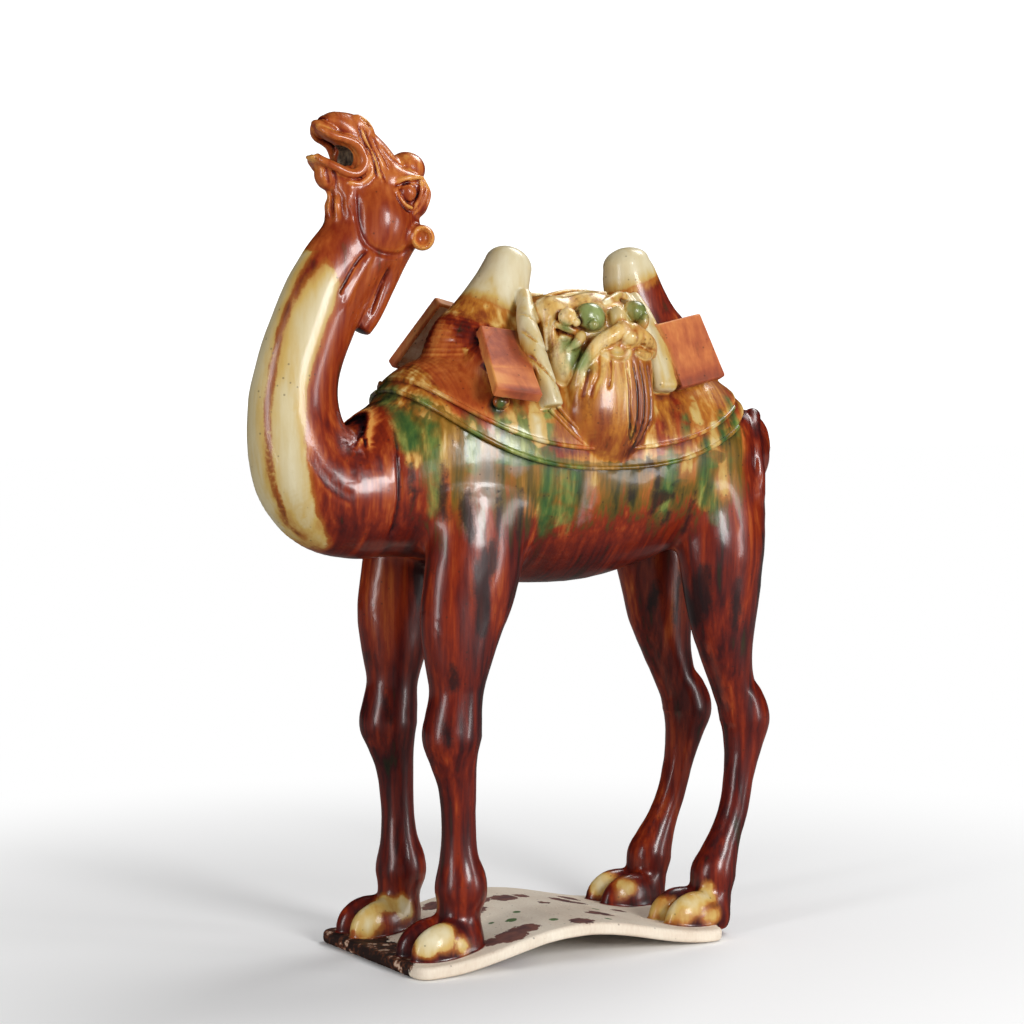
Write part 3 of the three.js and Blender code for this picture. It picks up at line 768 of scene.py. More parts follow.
def skin(low, high, step):
    """Vertices and quads of the figure's surface, one vertex to each cell that it crosses."""
    low = np.array(low, float)
    coarse = 4 * step
    count = np.ceil((np.array(high) - low) / coarse).astype(int) + 1
    grid = np.stack(np.meshgrid(*[np.arange(c) for c in count], indexing="ij"), -1).reshape(-1, 3)
    rough = in_bricks((low + grid * coarse).astype(np.float32), figure_form).reshape(count)
    near = np.abs(rough) < coarse + 2
    cells = np.zeros(count - 1, bool)
    for i, j, k in CORNERS:
        cells |= near[i:i + count[0] - 1, j:j + count[1] - 1, k:k + count[2] - 1]
    fine = cells.repeat(4, 0).repeat(4, 1).repeat(4, 2)
    size = np.array(fine.shape) + 1
    wanted = np.zeros(size, bool)
    for i, j, k in CORNERS:
        wanted[i:i + fine.shape[0], j:j + fine.shape[1], k:k + fine.shape[2]] |= fine
    nodes = np.argwhere(wanted)
    value = np.full(size, FAR, np.float32)
    value[wanted] = in_bricks((low + nodes * step).astype(np.float32), figure_form)
    inside = value < 0
    mixed = np.zeros(fine.shape, np.int8)
    for i, j, k in CORNERS:
        mixed += inside[i:i + fine.shape[0], j:j + fine.shape[1], k:k + fine.shape[2]]
    crossed = np.argwhere((mixed > 0) & (mixed < 8) & fine)
    corner = [value[tuple((crossed + c).T)] for c in CORNERS]
    total = np.zeros((len(crossed), 3))
    hits = np.zeros(len(crossed))
    for a, b in EDGES:
        change = (corner[a] < 0) != (corner[b] < 0)
        t = corner[a][change] / (corner[a][change] - corner[b][change])
        total[change] += CORNERS[a] + t[:, None] * (CORNERS[b] - CORNERS[a])
        hits[change] += 1
    verts = low + (crossed + total / hits[:, None]) * step
    number = np.full(fine.shape, -1, np.int32)
    number[tuple(crossed.T)] = np.arange(len(crossed))
    quads = []
    for axis in range(3):
        u, v = np.eye(3, dtype=int)[(axis + 1) % 3], np.eye(3, dtype=int)[(axis + 2) % 3]
        way = np.eye(3, dtype=int)[axis]
        ahead = value[tuple((crossed + way).T)]
        change = ((corner[0] < 0) != (ahead < 0)) & (crossed @ u > 0) & (crossed @ v > 0)
        home = crossed[change]
        ring = np.stack([number[tuple((home - s).T)] for s in (0 * u, u, u + v, v)], 1)
        outward = corner[0][change] < 0
        quads.append(np.where(outward[:, None], ring, ring[:, ::-1]))
    return verts, np.vstack(quads)


def slope(p, reach=0.5):
    """The figure's distance and its gradient, from four points around each one."""
    d = np.zeros(len(p), np.float32)
    g = np.zeros((len(p), 3), np.float32)
    for way in ((1, -1, -1), (-1, -1, 1), (-1, 1, -1), (1, 1, 1)):
        way = np.array(way, np.float32)
        there = in_bricks(p + way * reach, figure_form)
        d += there / 4
        g += there[:, None] * way / (4 * reach)
    return d, g


def onto_surface(p):
    d, g = slope(p)
    return (p - (d / np.maximum((g * g).sum(1), 0.2))[:, None] * g).astype(np.float32)


def mesh_from(name, verts, faces):
    mesh = bpy.data.meshes.new(name)
    sides = faces.shape[1]
    mesh.vertices.add(len(verts))
    mesh.vertices.foreach_set("co", verts.astype(np.float32).ravel())
    mesh.loops.add(faces.size)
    mesh.loops.foreach_set("vertex_index", faces.astype(np.int32).ravel())
    mesh.polygons.add(len(faces))
    mesh.polygons.foreach_set("loop_start", np.arange(len(faces), dtype=np.int32) * sides)
    mesh.update(calc_edges=True)
    mesh.validate()
    return mesh


def points_of(mesh):
    out = np.empty(len(mesh.vertices) * 3, np.float32)
    mesh.vertices.foreach_get("co", out)
    return out.reshape(-1, 3)


def settle(obj):
    """Turns what the modifiers make of the mesh into the mesh itself."""
    shown = obj.evaluated_get(bpy.context.evaluated_depsgraph_get())
    mesh = bpy.data.meshes.new_from_object(shown)
    obj.modifiers.clear()
    obj.data = mesh


def thinned(obj, budget, keep):
    """The mesh with at most budget triangles, spared where keep is 1."""
    spare = obj.vertex_groups.new(name="spare")
    for level in range(5):
        chosen = np.flatnonzero(np.round((1 - keep) * 4).astype(int) == level)
        if len(chosen):
            spare.add(chosen.tolist(), level / 4, "REPLACE")
    triangles = 2 * len(obj.data.polygons)
    thin = obj.modifiers.new("thin", "DECIMATE")
    thin.ratio = min(1.0, budget / triangles)
    thin.vertex_group = spare.name
    thin.vertex_group_factor = 0.6
    settle(obj)
    obj.vertex_groups.clear()


def show(name, mesh):
    obj = bpy.data.objects.new(name, mesh)
    bpy.context.scene.collection.objects.link(obj)
    return obj


def main_shell(count, faces):
    """Which vertices belong to the largest connected shell."""
    label = np.arange(count)
    while True:
        lowest = label[faces].min(1)
        new = label.copy()
        for column in range(faces.shape[1]):
            np.minimum.at(new, faces[:, column], lowest)
        new = new[new]
        if (new == label).all():
            return label == np.bincount(label).argmax()
        label = new


def without_crumbs(verts, faces):
    kept = main_shell(len(verts), faces)
    number = np.cumsum(kept) - 1
    return verts[kept], number[faces[kept[faces[:, 0]]]]


# Glaze: signed distances in millimetres from the edge of each colour, above zero inside it

BIB_EDGE = [
    # z, x of the cream's edge on the neck
    (419, -239), (450, -259), (470, -265), (500, -268), (521, -269), (545, -265), (569, -263),
    (593, -256), (609, -250), (629, -243), (648, -233), (672, -226), (682, -229), (701, -243), (716, -262),
]
BIB_LINE = [
    (-236, -24, 706), (-240, -19, 699), (-253, -16, 682), (-265, -15, 662), (-275, -14, 644),
    (-282, -15, 625), (-290, -18, 593), (-296, -20, 561), (-297, -22, 521), (-295, -22, 490),
    (-285, -22, 459), (-270, -13, 440), (-259, -16, 430),
]
RUNS = {
    # x, top, bottom, half width
    "green": [
        (-147, 560, 446, 5), (-166, 545, 505, 9), (-109, 542, 486, 6), (-84, 556, 518, 5),
        (-62, 505, 492, 30), (-60, 556, 510, 4), (-33, 556, 500, 5), (-31, 506, 424, 6),
        (-12, 497, 430, 4), (0, 492, 464, 6), (-3, 466, 424, 4), (114, 506, 432, 8), (162, 516, 446, 6),
        (184, 545, 480, 5), (206, 560, 520, 5), (198, 498, 488, 3), (134, 545, 520, 4),
        (176, 470, 430, 3),
    ],
    "cream": [
        (-72, 549, 524, 5), (-44, 553, 509, 8), (137, 509, 474, 6), (-109, 535, 529, 4),
        (-147, 549, 540, 5), (172, 540, 500, 6), (186, 500, 455, 5), (150, 560, 530, 6),
    ],
    # pale straw runs; the one at x -52 is partly a painted highlight on the flank
    "straw": [
        (-128, 535, 492, 12), (-164, 540, 492, 11), (-52, 497, 440, 10), (176, 560, 440, 22),
        (66, 510, 488, 26), (-148, 580, 530, 16), (20, 505, 470, 8),
    ],
    # milky blue-grey glaze; the runs at x -100 and x 16 lie on the flank's softbox highlight and beside it,
    # so there they are partly painted highlight and painted reflection
    "blue": [
        (-100, 496, 452, 12), (-112, 452, 414, 8), (16, 488, 434, 5), (-64, 498, 484, 8),
    ],
    "dark": [
        (242, 420, 350, 5), (170, 385, 320, 6), (203, 372, 320, 4), (-138, 500, 440, 4),
        (-118, 470, 420, 5), (70, 484, 452, 4), (98, 488, 440, 4), (84, 490, 484, 12), (-96, 420, 390, 6),
        (-107, 404, 326, 8), (-134, 300, 275, 3), (-141, 256, 222, 3), (204, 362, 318, 5),
        (-168, 500, 452, 3), (-60, 470, 420, 3), (118, 480, 430, 4), (150, 470, 420, 3),
        (-86, 470, 425, 3),
    ],
    "brown": [
        (-112, 640, 512, 19), (-92, 590, 512, 5), (-52, 556, 530, 12), (-30, 512, 496, 14),
        (214, 565, 500, 8), (128, 560, 505, 8), (150, 540, 505, 5), (100, 540, 500, 6),
        (-132, 565, 520, 4), (8, 530, 500, 12),
    ],
}


def run_field(x, z, runs):
    """Signed distance of drips that widen a little and end round at the bottom."""
    best = np.full(len(x), NOWHERE, np.float32)
    for at, top, bottom, half in runs:
        near = np.abs(x - at) < half + 45
        zn = z[near]
        down = np.clip((top - zn) / max(top - bottom, 1), 0, 1)
        sway = 2.5 * np.sin(zn / 13.0 + at) * down
        width = half * (0.75 + 0.45 * np.sin(np.pi * down))
        inside = np.clip(zn, bottom + half, max(top, bottom + half))
        best[near] = np.maximum(best[near], width - np.hypot(x[near] - at - sway, zn - inside))
    return best


def other_side(runs, seed):
    """The same kind of runs for the far flank, fewer and in other places."""
    rng = np.random.default_rng(seed)
    made = []
    for x, top, bottom, half in runs:
        shift = rng.uniform(-24, 24)
        longer = rng.uniform(0.6, 1.2)
        made.append((x + shift, top, top - (top - bottom) * longer, half * rng.uniform(0.7, 1.2)))
    return made


FAR_RUNS = {colour: other_side(runs, 6 + i) for i, (colour, runs) in enumerate(RUNS.items())}


def flank_field(p, colour):
    near = run_field(p[:, 0], p[:, 2], RUNS[colour])
    far = run_field(p[:, 0], p[:, 2], FAR_RUNS[colour])
    return np.where(p[:, 1] < 0, near, far)


def blob_field(p, blobs):
    """Signed distance of round patches x, y, z, radius."""
    best = np.full(len(p), NOWHERE, np.float32)
    for x, y, z, r in blobs:
        best = np.maximum(best, r - np.linalg.norm(p - (x, y, z), axis=1))
    return best


TOE_PATCHES = [
    (-156, -84, 36, 20), (-146, -90, 42, 13), (-126, -94, 28, 8), (-160, 46, 32, 19), (-140, 50, 42, 16),
    (-120, 40, 40, 12), (140, -74, 30, 19), (152, -84, 38, 18), (170, -84, 46, 14), (174, -90, 24, 10),
    (140, -52, 26, 16), (142, 68, 32, 16), (152, 38, 34, 12), (148, 50, 26, 10),
]
NECK_FOOT_GREEN = [(-160, -12, 560, 14), (-154, 14, 570, 13), (-154, 38, 560, 12), (-166, -28, 548, 7)]
MASK_GREEN = [
    (24, 92, 643, 17), (84, 84, 648, 14), (6, 96, 600, 14), (0, 90, 612, 10), (-2, 84, 592, 8),
    (22, 98, 632, 9), (-4, 88, 630, 6), (14, 100, 588, 8),
]
MASK_CREAM = [
    (52, 98, 644, 13), (10, 96, 622, 7), (56, 112, 632, 8), (96, 84, 632, 12), (64, 70, 668, 12),
    (88, 100, 606, 7), (40, 114, 606, 7),
]
PLATE_SPOTS = [
    # x, y, radius
    (4, 46, 15), (-22, 52, 12), (28, 50, 9), (73, 38, 15), (90, 34, 9), (12, -94, 13),
    (66, -45, 13), (54, -50, 8), (-65, -85, 18), (-44, -78, 14), (-84, -82, 12), (100, 70, 12),
    (120, 5, 8), (-60, 80, 14), (-60, 18, 17), (-42, 24, 12), (-84, 8, 12), (30, 8, 7),
]
PLATE_GREEN = [(-39, -41, 6), (-9, -74, 5), (-20, -20, 4), (50, -84, 4), (84, -8, 4), (-56, -30, 3)]


def glaze_fields(p):
    """Every colour field of the glaze at the points, with painted highlights and painted fill in the tone."""
    cloud = Cloud(p)
    q = mirrored(cloud)
    x, y, z = p.T
    rim = rim_height(x)

    def distance(form, points=cloud):
        d = form(points)
        return np.full(len(p), FAR, np.float32) if d is None else d

    # bib, with an amber line left open on the camel's left, and the pale tips of the humps
    edge_z, edge_x = np.array(BIB_EDGE, float).T
    chest = np.minimum.reduce([np.interp(z, edge_z, edge_x) - x, 712 - z, 0.7 * (z - 416), -200 - x])
    flat = np.array((0.3, 1, 1), np.float32)
    from_line, _ = strand_gap(p * flat, np.array(BIB_LINE, np.float32) * (0.3, 1, 1))
    line_half = np.interp(z, (430, 560, 640, 665, 690, 712), (3.4, 3.0, 3.2, 4.2, 7.0, 10.0))
    bib = np.minimum(chest, np.where(y < 10, from_line - line_half, 60))
    from_front = distance(front_hump)
    front_tip = np.where(from_front < 4, z - 656 + 0.45 * (x + 55), NOWHERE)
    rear_tip = np.where(distance(rear_hump) < 4, z - 675 - 0.39 * (x - 116), NOWHERE)

    # boards, coloured from their own edges
    boards = np.full(len(p), FAR, np.float32)
    bare = np.full(len(p), NOWHERE, np.float32)
    board_tone = np.zeros(len(p))
    for outer, inner, _, (middle, turn, half_length, half_height) in BOARD_FORMS:
        gap = distance(outer)
        boards = np.minimum(boards, gap)
        bare = np.maximum(bare, 1.2 - distance(inner))
        along, _, up = ((p - middle) @ turn).T
        from_rim = np.minimum(half_length - np.abs(along), half_height - np.abs(up))
        # each board is darker towards its foot and paler along its rims
        foot_and_rim_tone = 0.32 + 0.34 * rise(up + half_height, 15, 0) - 0.16 * rise(from_rim, 2.5, 0)
        board_tone = np.where(gap < 1.2, foot_and_rim_tone, board_tone)
    on_board = boards < 1.2

    # cream, green and straw
    from_roll = np.minimum(distance(squared_roll, q), distance(bolster, q))
    toes = blob_field(p, TOE_PATCHES) + 4.5 * lumps(p, 11.0) - 1
    cream = np.maximum.reduce([
        bib, front_tip, rear_tip, 4 * (2.5 - from_roll), toes, blob_field(q.p, MASK_CREAM),
        flank_field(p, "cream"),
    ])
    green = np.maximum.reduce([
        blob_field(q.p, MASK_GREEN), flank_field(p, "green"), blob_field(p, NECK_FOOT_GREEN),
    ])
    seam = np.interp(z, (420, 465, 510, 530, 550, 570), (-166, -184, -181, -176, -190, -200))
    brown = flank_field(p, "brown")
    on_cloth = np.minimum.reduce([z - rim + RIM_GAP, x - seam, -brown, np.full(len(p), 12.0)])
    near_trunk = np.minimum(np.abs(distance(trunk)), 60) < 16
    from_mask = np.minimum.reduce([distance(form, q) for form, _ in MASK_FORMS])
    from_pouch = distance(pouch, q)
    straw = np.maximum.reduce([
        np.where(near_trunk, on_cloth, NOWHERE), 3 - from_mask, 3 - from_pouch,
        3 - distance(cushion, q), front_tip + 26, rear_tip + 7, flank_field(p, "straw"),
    ])

    # how deep the amber lies, from 0 for thin and pale to 1 for thick and dark, with painted light mixed in:
    # a painted highlight on brow, snout and rear boards, and painted fill on the far legs
    on_head = rise(z, 600, 690) * rise(x, -100, -130)
    on_chest = rise(x, -130, -190) * rise(z, 430, 490)
    above_cloth = rise(z, 560, 620)
    # painted light: the far legs are made paler, and their tops under the belly paler still, to lift the
    # shade they stand in
    far_legs_painted_fill = (y > 0) * (z < 430)
    in_brown = rise(brown, -4, 4)
    wash = rise(z, 405, 500) * rise(x, -185, -165) * rise(x, 225, 205) * rise(distance(neck), 0, 20)
    wash = wash * (z < rim - RIM_GAP + 6) * rise(np.abs(y), 30, 60)
    # the head is paler amber than the body, and its brow and snout above z 752 paler still as a painted
    # highlight
    tone = 0.6 - 0.06 * far_legs_painted_fill - (0.21 + 0.14 * rise(z, 752, 778)) * on_head
    tone = tone - 0.1 * (on_chest + above_cloth) * (1 - on_head)
    tone = tone + 0.06 * rise(z, 420, 360) + 0.06 * rise(z, 330, 270) * (x < 0) + 0.2 * rise(chest, 6, 12)
    # the tail end is paler glaze; the far legs' tops get more painted fill light
    tone = tone - 0.12 * rise(x, 262, 272) - 0.12 * far_legs_painted_fill * rise(z, 290, 360)
    # front boards sit 0.06 darker than the rear ones; the rear boards' extra paleness is a painted highlight
    tone = np.where(on_board, board_tone + 0.06 * (x < 0), tone) - 0.1 * wash - 0.25 * in_brown

    # the same for straw, and how much streaks show
    on_mask = rise(from_mask, 4, 0)
    on_pouch = rise(from_pouch, 4, 0) * (1 - on_mask)
    bulge = 0.34 + 0.26 * rise(z, 575, 505) + 0.14 * rise(x, 44, 60)
    ochre = 0.43 - 0.24 * on_mask + (bulge - 0.43) * on_pouch
    ochre = ochre - 0.14 * rise(front_tip, -26, 0) * (from_front < 4)
    calm = 1 - 0.4 * on_board - 0.5 * above_cloth * rise(x, -130, -160)
    calm = calm - 0.5 * on_mask - 0.35 * on_pouch - 0.45 * in_brown * (z > 520)
    return {
        "ochre": ochre,
        "calm": calm,
        "cream": np.minimum(cream, boards - 1.5),
        "green": np.minimum(green, boards - 1.5),
        "straw": np.minimum(straw, boards - 1.5),
        "blue": flank_field(p, "blue"),
        "dark": flank_field(p, "dark"),
        "wash": wash,
        "slip": 0.7 - distance(base_plate),
        # bare clay inside the open mouth, which the material paints dark as painted shade of the hollow
        "clay": np.where(x < -180, 1.5 - distance(gullet, leaning(cloud)), NOWHERE),
        "bisque": bare,
        "board": 1.2 - boards,
        "tone": tone,
    }


POOL_REACH = 3.0


def pooling(p, normals):
    """Above zero in hollows, where glaze gathers, and below zero on ridges, where it runs thin."""
    out = in_bricks(p + normals * POOL_REACH, figure_form)
    inward = in_bricks(p - normals * POOL_REACH, figure_form)
    return np.clip(-(out + inward) / POOL_REACH, -1, 1)


# Shader nodes

class Shade:
    """Adds nodes to a tree and links what is a socket."""

    def __init__(self, tree):
        self.tree = tree

    def add(self, kind, inputs=None, out=0, **settings):
        node = self.tree.nodes.new(kind)
        for name, value in settings.items():
            setattr(node, name, value)
        for key, value in (inputs or {}).items():
            self.put(node.inputs[key], value)
        return node.outputs[out] if out is not None else node

    def put(self, socket, value):
        if isinstance(value, bpy.types.NodeSocket):
            self.tree.links.new(value, socket)
        else:
            socket.default_value = value

    def math(self, operation, a, b=0.0, c=0.0, clamp=False):
        return self.add("ShaderNodeMath", {0: a, 1: b, 2: c}, operation=operation, use_clamp=clamp)

    def mix(self, share, a, b):
        return self.add("ShaderNodeMix", {0: share, 6: a, 7: b}, out=2, data_type="RGBA")

    def ramp(self, value, stops):
        node = self.add("ShaderNodeValToRGB", {0: value}, out=None)
        elements = node.color_ramp.elements
        while len(elements) < len(stops):
            elements.new(0.5)
        for element, (place, colour) in zip(elements, stops):
            element.position = place
            element.color = colour
        return node.outputs[0]

    def noise(self, vector, scale, detail=2.0, roughness=0.5):
        return self.add("ShaderNodeTexNoise", {
            "Vector": vector, "Scale": scale, "Detail": detail, "Roughness": roughness,
        })

    def place(self):
        """The point's own place on its object."""
        return self.add("ShaderNodeTexCoord", out=3)

    def stretched(self, vector, scale):
        return self.add("ShaderNodeMapping", {"Vector": vector, "Scale": scale})

    def field(self, name):
        return self.add("ShaderNodeAttribute", out=2, attribute_name=name)


def shader_group(name, inputs, output):
    """A group of value sockets, with its shader, its inlet's sockets by name and its one outlet."""
    group = bpy.data.node_groups.new(name, "ShaderNodeTree")
    for label, value in inputs.items():
        socket = group.interface.new_socket(label, in_out="INPUT", socket_type="NodeSocketFloat")
        socket.default_value = value
    group.interface.new_socket(output, in_out="OUTPUT", socket_type="NodeSocketFloat")
    inlet = group.nodes.new("NodeGroupInput")
    outlet = group.nodes.new("NodeGroupOutput")
    return group, Shade(group), inlet.outputs, outlet.inputs[output]


def run_edge_group():
    """A colour's share from its distance field, its edge drawn out downwards as running glaze is."""
    group, s, given, share = shader_group(
        "run_edge", {"Distance": 0.0, "Wander": 2.0, "Softness": 2.0, "Seed": 0.0}, "Share")
    shift = s.add("ShaderNodeCombineXYZ", {0: given["Seed"]})
    moved = s.add("ShaderNodeVectorMath", {0: s.place(), 1: shift}, operation="ADD")
    streak = s.math("SUBTRACT", s.noise(s.stretched(moved, (1.0, 1.0, 0.22)), 130.0, 3.0), 0.5)
    grain = s.math("SUBTRACT", s.noise(moved, 420.0, 2.0), 0.5)
    wobble = s.math("ADD", streak, s.math("MULTIPLY", grain, 0.35))
    edge = s.math("MULTIPLY_ADD", wobble, s.math("MULTIPLY", given["Wander"], 4.0), given["Distance"])
    s.put(share, s.add("ShaderNodeMapRange", {
        "Value": s.math("DIVIDE", edge, given["Softness"]), "From Min": -0.5, "From Max": 0.5,
    }, interpolation_type="SMOOTHSTEP"))
    return group


def specks_group():
    """Iron specks of the firing, and small pits drawn as dark dots of painted shade."""
    group, s, given, specks = shader_group("kiln_specks", {"Spacing": 160.0, "Amount": 0.2}, "Specks")
    cell = s.add("ShaderNodeTexVoronoi", {"Vector": s.place(), "Scale": given["Spacing"]}, out=None)
    chance = s.add("ShaderNodeSeparateColor", {0: cell.outputs["Color"]})
    chosen = s.math("LESS_THAN", chance, given["Amount"])
    dot = s.add("ShaderNodeMapRange", {
        "Value": cell.outputs["Distance"], "From Min": 0.22, "From Max": 0.12,
    })
    s.put(specks, s.math("MULTIPLY", chosen, dot))
    return group


def rgb(red, green, blue):
    """A colour on the screen, 0 to 255, as scene light."""
    shares = [value / 255 for value in (red, green, blue)]
    return (*[v / 12.92 if v <= 0.04045 else ((v + 0.055) / 1.055) ** 2.4 for v in shares], 1.0)


def glaze(settings):
    """The one glaze that every piece shares."""
    tints = [(*getattr(settings, name), 1.0) for name in ("amber", "cream", "green", "slip")]
    return bpy.data.materials.get("running_glaze") or glaze_material(*tints)


def glaze_material(amber_tint, cream_tint, green_tint, slip_tint):
    """Glaze that runs from colour to colour by the fields on the mesh."""
    material = bpy.data.materials.new("running_glaze")
    material.use_nodes = True
    tree = material.node_tree
    tree.nodes.clear()
    s = Shade(tree)
    edge = run_edge_group()

    def share(field, wander, softness, seed):
        distance = s.field(field) if isinstance(field, str) else field
        node = s.add("ShaderNodeGroup", out=None, node_tree=edge)
        given = {"Distance": distance, "Wander": wander, "Softness": softness, "Seed": seed}
        for name, value in given.items():
            s.put(node.inputs[name], value)
        return node.outputs[0]

    def spots(table):
        """Distance in millimetres from the edge of the nearest round spot on the plate."""
        best = NOWHERE
        for spot_x, spot_y, radius in table:
            middle = ((spot_x + PLATE_MIDDLE_X) / MM, spot_y / MM, 0.0)
            gap = s.add("ShaderNodeVectorMath", {0: flat_place, 1: middle}, out=1, operation="DISTANCE")
            best = s.math("MAXIMUM", s.math("MULTIPLY_ADD", gap, -MM, float(radius)), best)
        return best

    place = s.place()
    flat_place = s.add("ShaderNodeVectorMath", {0: place, 1: (1.0, 1.0, 0.0)}, operation="MULTIPLY")
    lying = s.field("lying")

    def running(stretch, *settings):
        """Noise drawn out down the walls, and outwards where the surface lies flat."""
        down = s.noise(s.stretched(place, (1.0, 1.0, stretch)), *settings)
        outwards = s.noise(s.stretched(place, (1.0, stretch, stretch)), *settings)
        return s.add("ShaderNodeMix", {0: lying, 2: down, 3: outwards})

    streak = running(0.06, 150.0, 2.5, 0.55)
    band = running(0.12, 56.0, 2.0)
    broad = running(0.3, 20.0, 2.0)
    fine = s.noise(s.stretched(place, (1.0, 1.0, 0.3)), 420.0, 2.0)
    pool = s.field("pool")
    calm = s.field("calm")

    def depth(base, streaky, banded, broadly, pooled, finely=0.1):
        value = 0.0
        for noise, much in ((streak, streaky), (band, banded), (broad, broadly), (fine, finely)):
            if much:
                value = s.math("MULTIPLY_ADD", s.math("SUBTRACT", noise, 0.5), much, value)
        return s.math("MULTIPLY_ADD", pool, pooled, s.math("MULTIPLY_ADD", value, calm, base))

    amber = s.ramp(depth(s.field("tone"), 0.72, 0.66, 0.45, 0.55), [
        (0.0, rgb(226, 158, 78)), (0.18, rgb(200, 112, 50)), (0.34, rgb(166, 74, 28)), (0.48, amber_tint),
        (0.62, rgb(102, 26, 14)), (0.8, rgb(64, 17, 18)), (1.0, rgb(28, 13, 20)),
    ])
    straw = s.ramp(depth(s.field("ochre"), 0.75, 1.0, 0.6, 0.6), [
        (0.0, rgb(240, 226, 180)), (0.22, rgb(222, 182, 104)), (0.42, rgb(186, 118, 40)),
        (0.6, rgb(146, 72, 26)), (0.8, rgb(100, 38, 18)), (1.0, rgb(58, 22, 14)),
    ])
    olive = s.ramp(depth(0.5, 0.9, 0.9, 0.5, 0.3), [
        (0.0, rgb(216, 178, 116)), (0.22, rgb(182, 134, 56)), (0.4, rgb(140, 98, 28)),
        (0.56, rgb(104, 84, 24)), (0.76, rgb(58, 60, 22)), (1.0, rgb(28, 30, 18)),
    ])
    green = s.ramp(depth(0.48, 0.8, 0.8, 0.5, 0.5), [
        (0.0, rgb(200, 208, 142)), (0.25, rgb(124, 152, 74)), (0.5, green_tint), (0.75, rgb(28, 70, 38)),
        (1.0, rgb(16, 36, 24)),
    ])
    cream_field = s.field("cream")
    rim_of_cream = s.add("ShaderNodeMapRange", {
        "Value": cream_field, "From Min": 0.0, "From Max": 15.0, "To Min": 0.42, "To Max": 0.0,
    })
    cream = s.ramp(s.math("ADD", depth(0.22, 0.35, 0.6, 0.6, 0.45), rim_of_cream), [
        (0.0, rgb(226, 216, 184)), (0.35, cream_tint), (0.55, rgb(202, 168, 92)), (0.76, rgb(178, 116, 40)),
        (1.0, rgb(132, 62, 20)),
    ])
    slip = s.ramp(depth(0.4, 0.0, 0.0, 1.2, 0.4, 0.6), [
        (0.0, rgb(236, 226, 208)), (0.5, slip_tint), (1.0, rgb(194, 168, 146)),
    ])
    # boards get their own salmon glaze, partly a painted pinkish reflection
    on_board = share("board", 0.2, 0.8, 7.3)
    amber = s.mix(s.math("MULTIPLY", on_board, 0.25), amber, rgb(208, 122, 80))
    colour = s.mix(share("straw", 4.0, 9.0, 0.3), amber, straw)
    wash = s.math("SUBTRACT", s.field("wash"), 1.72)
    run_down = s.add("ShaderNodeMapRange", {
        "Value": s.math("MULTIPLY_ADD", s.math("ADD", streak, band), 1.3, wash),
        "From Min": -0.2, "From Max": 0.3,
    }, interpolation_type="SMOOTHSTEP")
    colour = s.mix(s.math("MULTIPLY", run_down, 0.9), colour, olive)
    around_cream = s.math("MULTIPLY", share(s.math("ADD", cream_field, 2.6), 1.6, 7.0, 0.9), 0.8)
    colour = s.mix(around_cream, colour, rgb(176, 104, 36))
    colour = s.mix(s.math("MULTIPLY", share("green", 2.4, 11.0, 1.7), 0.8), colour, green)
    in_cream = share(cream_field, 1.5, 2.6, 0.9)
    colour = s.mix(in_cream, colour, cream)
    # milky blue-grey, partly a painted highlight and reflection on the flank
    colour = s.mix(s.math("MULTIPLY", share("blue", 3.0, 12.0, 2.9), 0.4), colour, rgb(168, 160, 156))
    colour = s.mix(s.math("MULTIPLY", share("dark", 3.6, 8.0, 3.7), 0.85), colour, rgb(30, 18, 20))
    spot_colour = s.ramp(s.noise(place, 60.0, 2.0), [(0.35, rgb(96, 66, 66)), (0.6, rgb(128, 84, 74))])
    slip = s.mix(share(spots(PLATE_SPOTS), 3.6, 1.8, 4.1), slip, spot_colour)
    slip = s.mix(share(spots(PLATE_GREEN), 0.8, 1.6, 4.9), slip, rgb(92, 120, 74))
    patchy = s.noise(place, 90.0, 3.0, 0.65)
    strip = s.ramp(patchy, [
        (0.0, rgb(24, 16, 14)), (0.48, rgb(46, 26, 20)), (0.58, rgb(112, 58, 30)), (0.64, rgb(206, 176, 152)),
    ])
    x, y = [s.add("ShaderNodeSeparateXYZ", {0: place}, out=i) for i in range(2)]
    from_end = s.math("MULTIPLY_ADD", x, -MM, s.math("MULTIPLY_ADD", patchy, 34.0, -163.0))
    off_corner = s.math("MULTIPLY_ADD", y, MM, s.math("MULTIPLY_ADD", patchy, 30.0, 72.0))
    slip = s.mix(share(s.math("MINIMUM", from_end, off_corner), 2.0, 2.0, 5.3), slip, strip)
    on_slip = share("slip", 0.0, 1.0, 0.0)
    colour = s.mix(on_slip, colour, slip)
    on_bisque = share("bisque", 0.3, 0.8, 6.7)
    bisque = s.ramp(patchy, [(0.35, rgb(214, 178, 150)), (0.65, rgb(238, 218, 196))])
    colour = s.mix(on_bisque, colour, bisque)
    # the mouth's bare clay, painted dark as shade of its hollow
    on_clay = share("clay", 0.2, 0.8, 5.9)
    clay = s.ramp(fine, [(0.3, rgb(58, 44, 34)), (0.7, rgb(136, 116, 92))])
    colour = s.mix(on_clay, colour, clay)
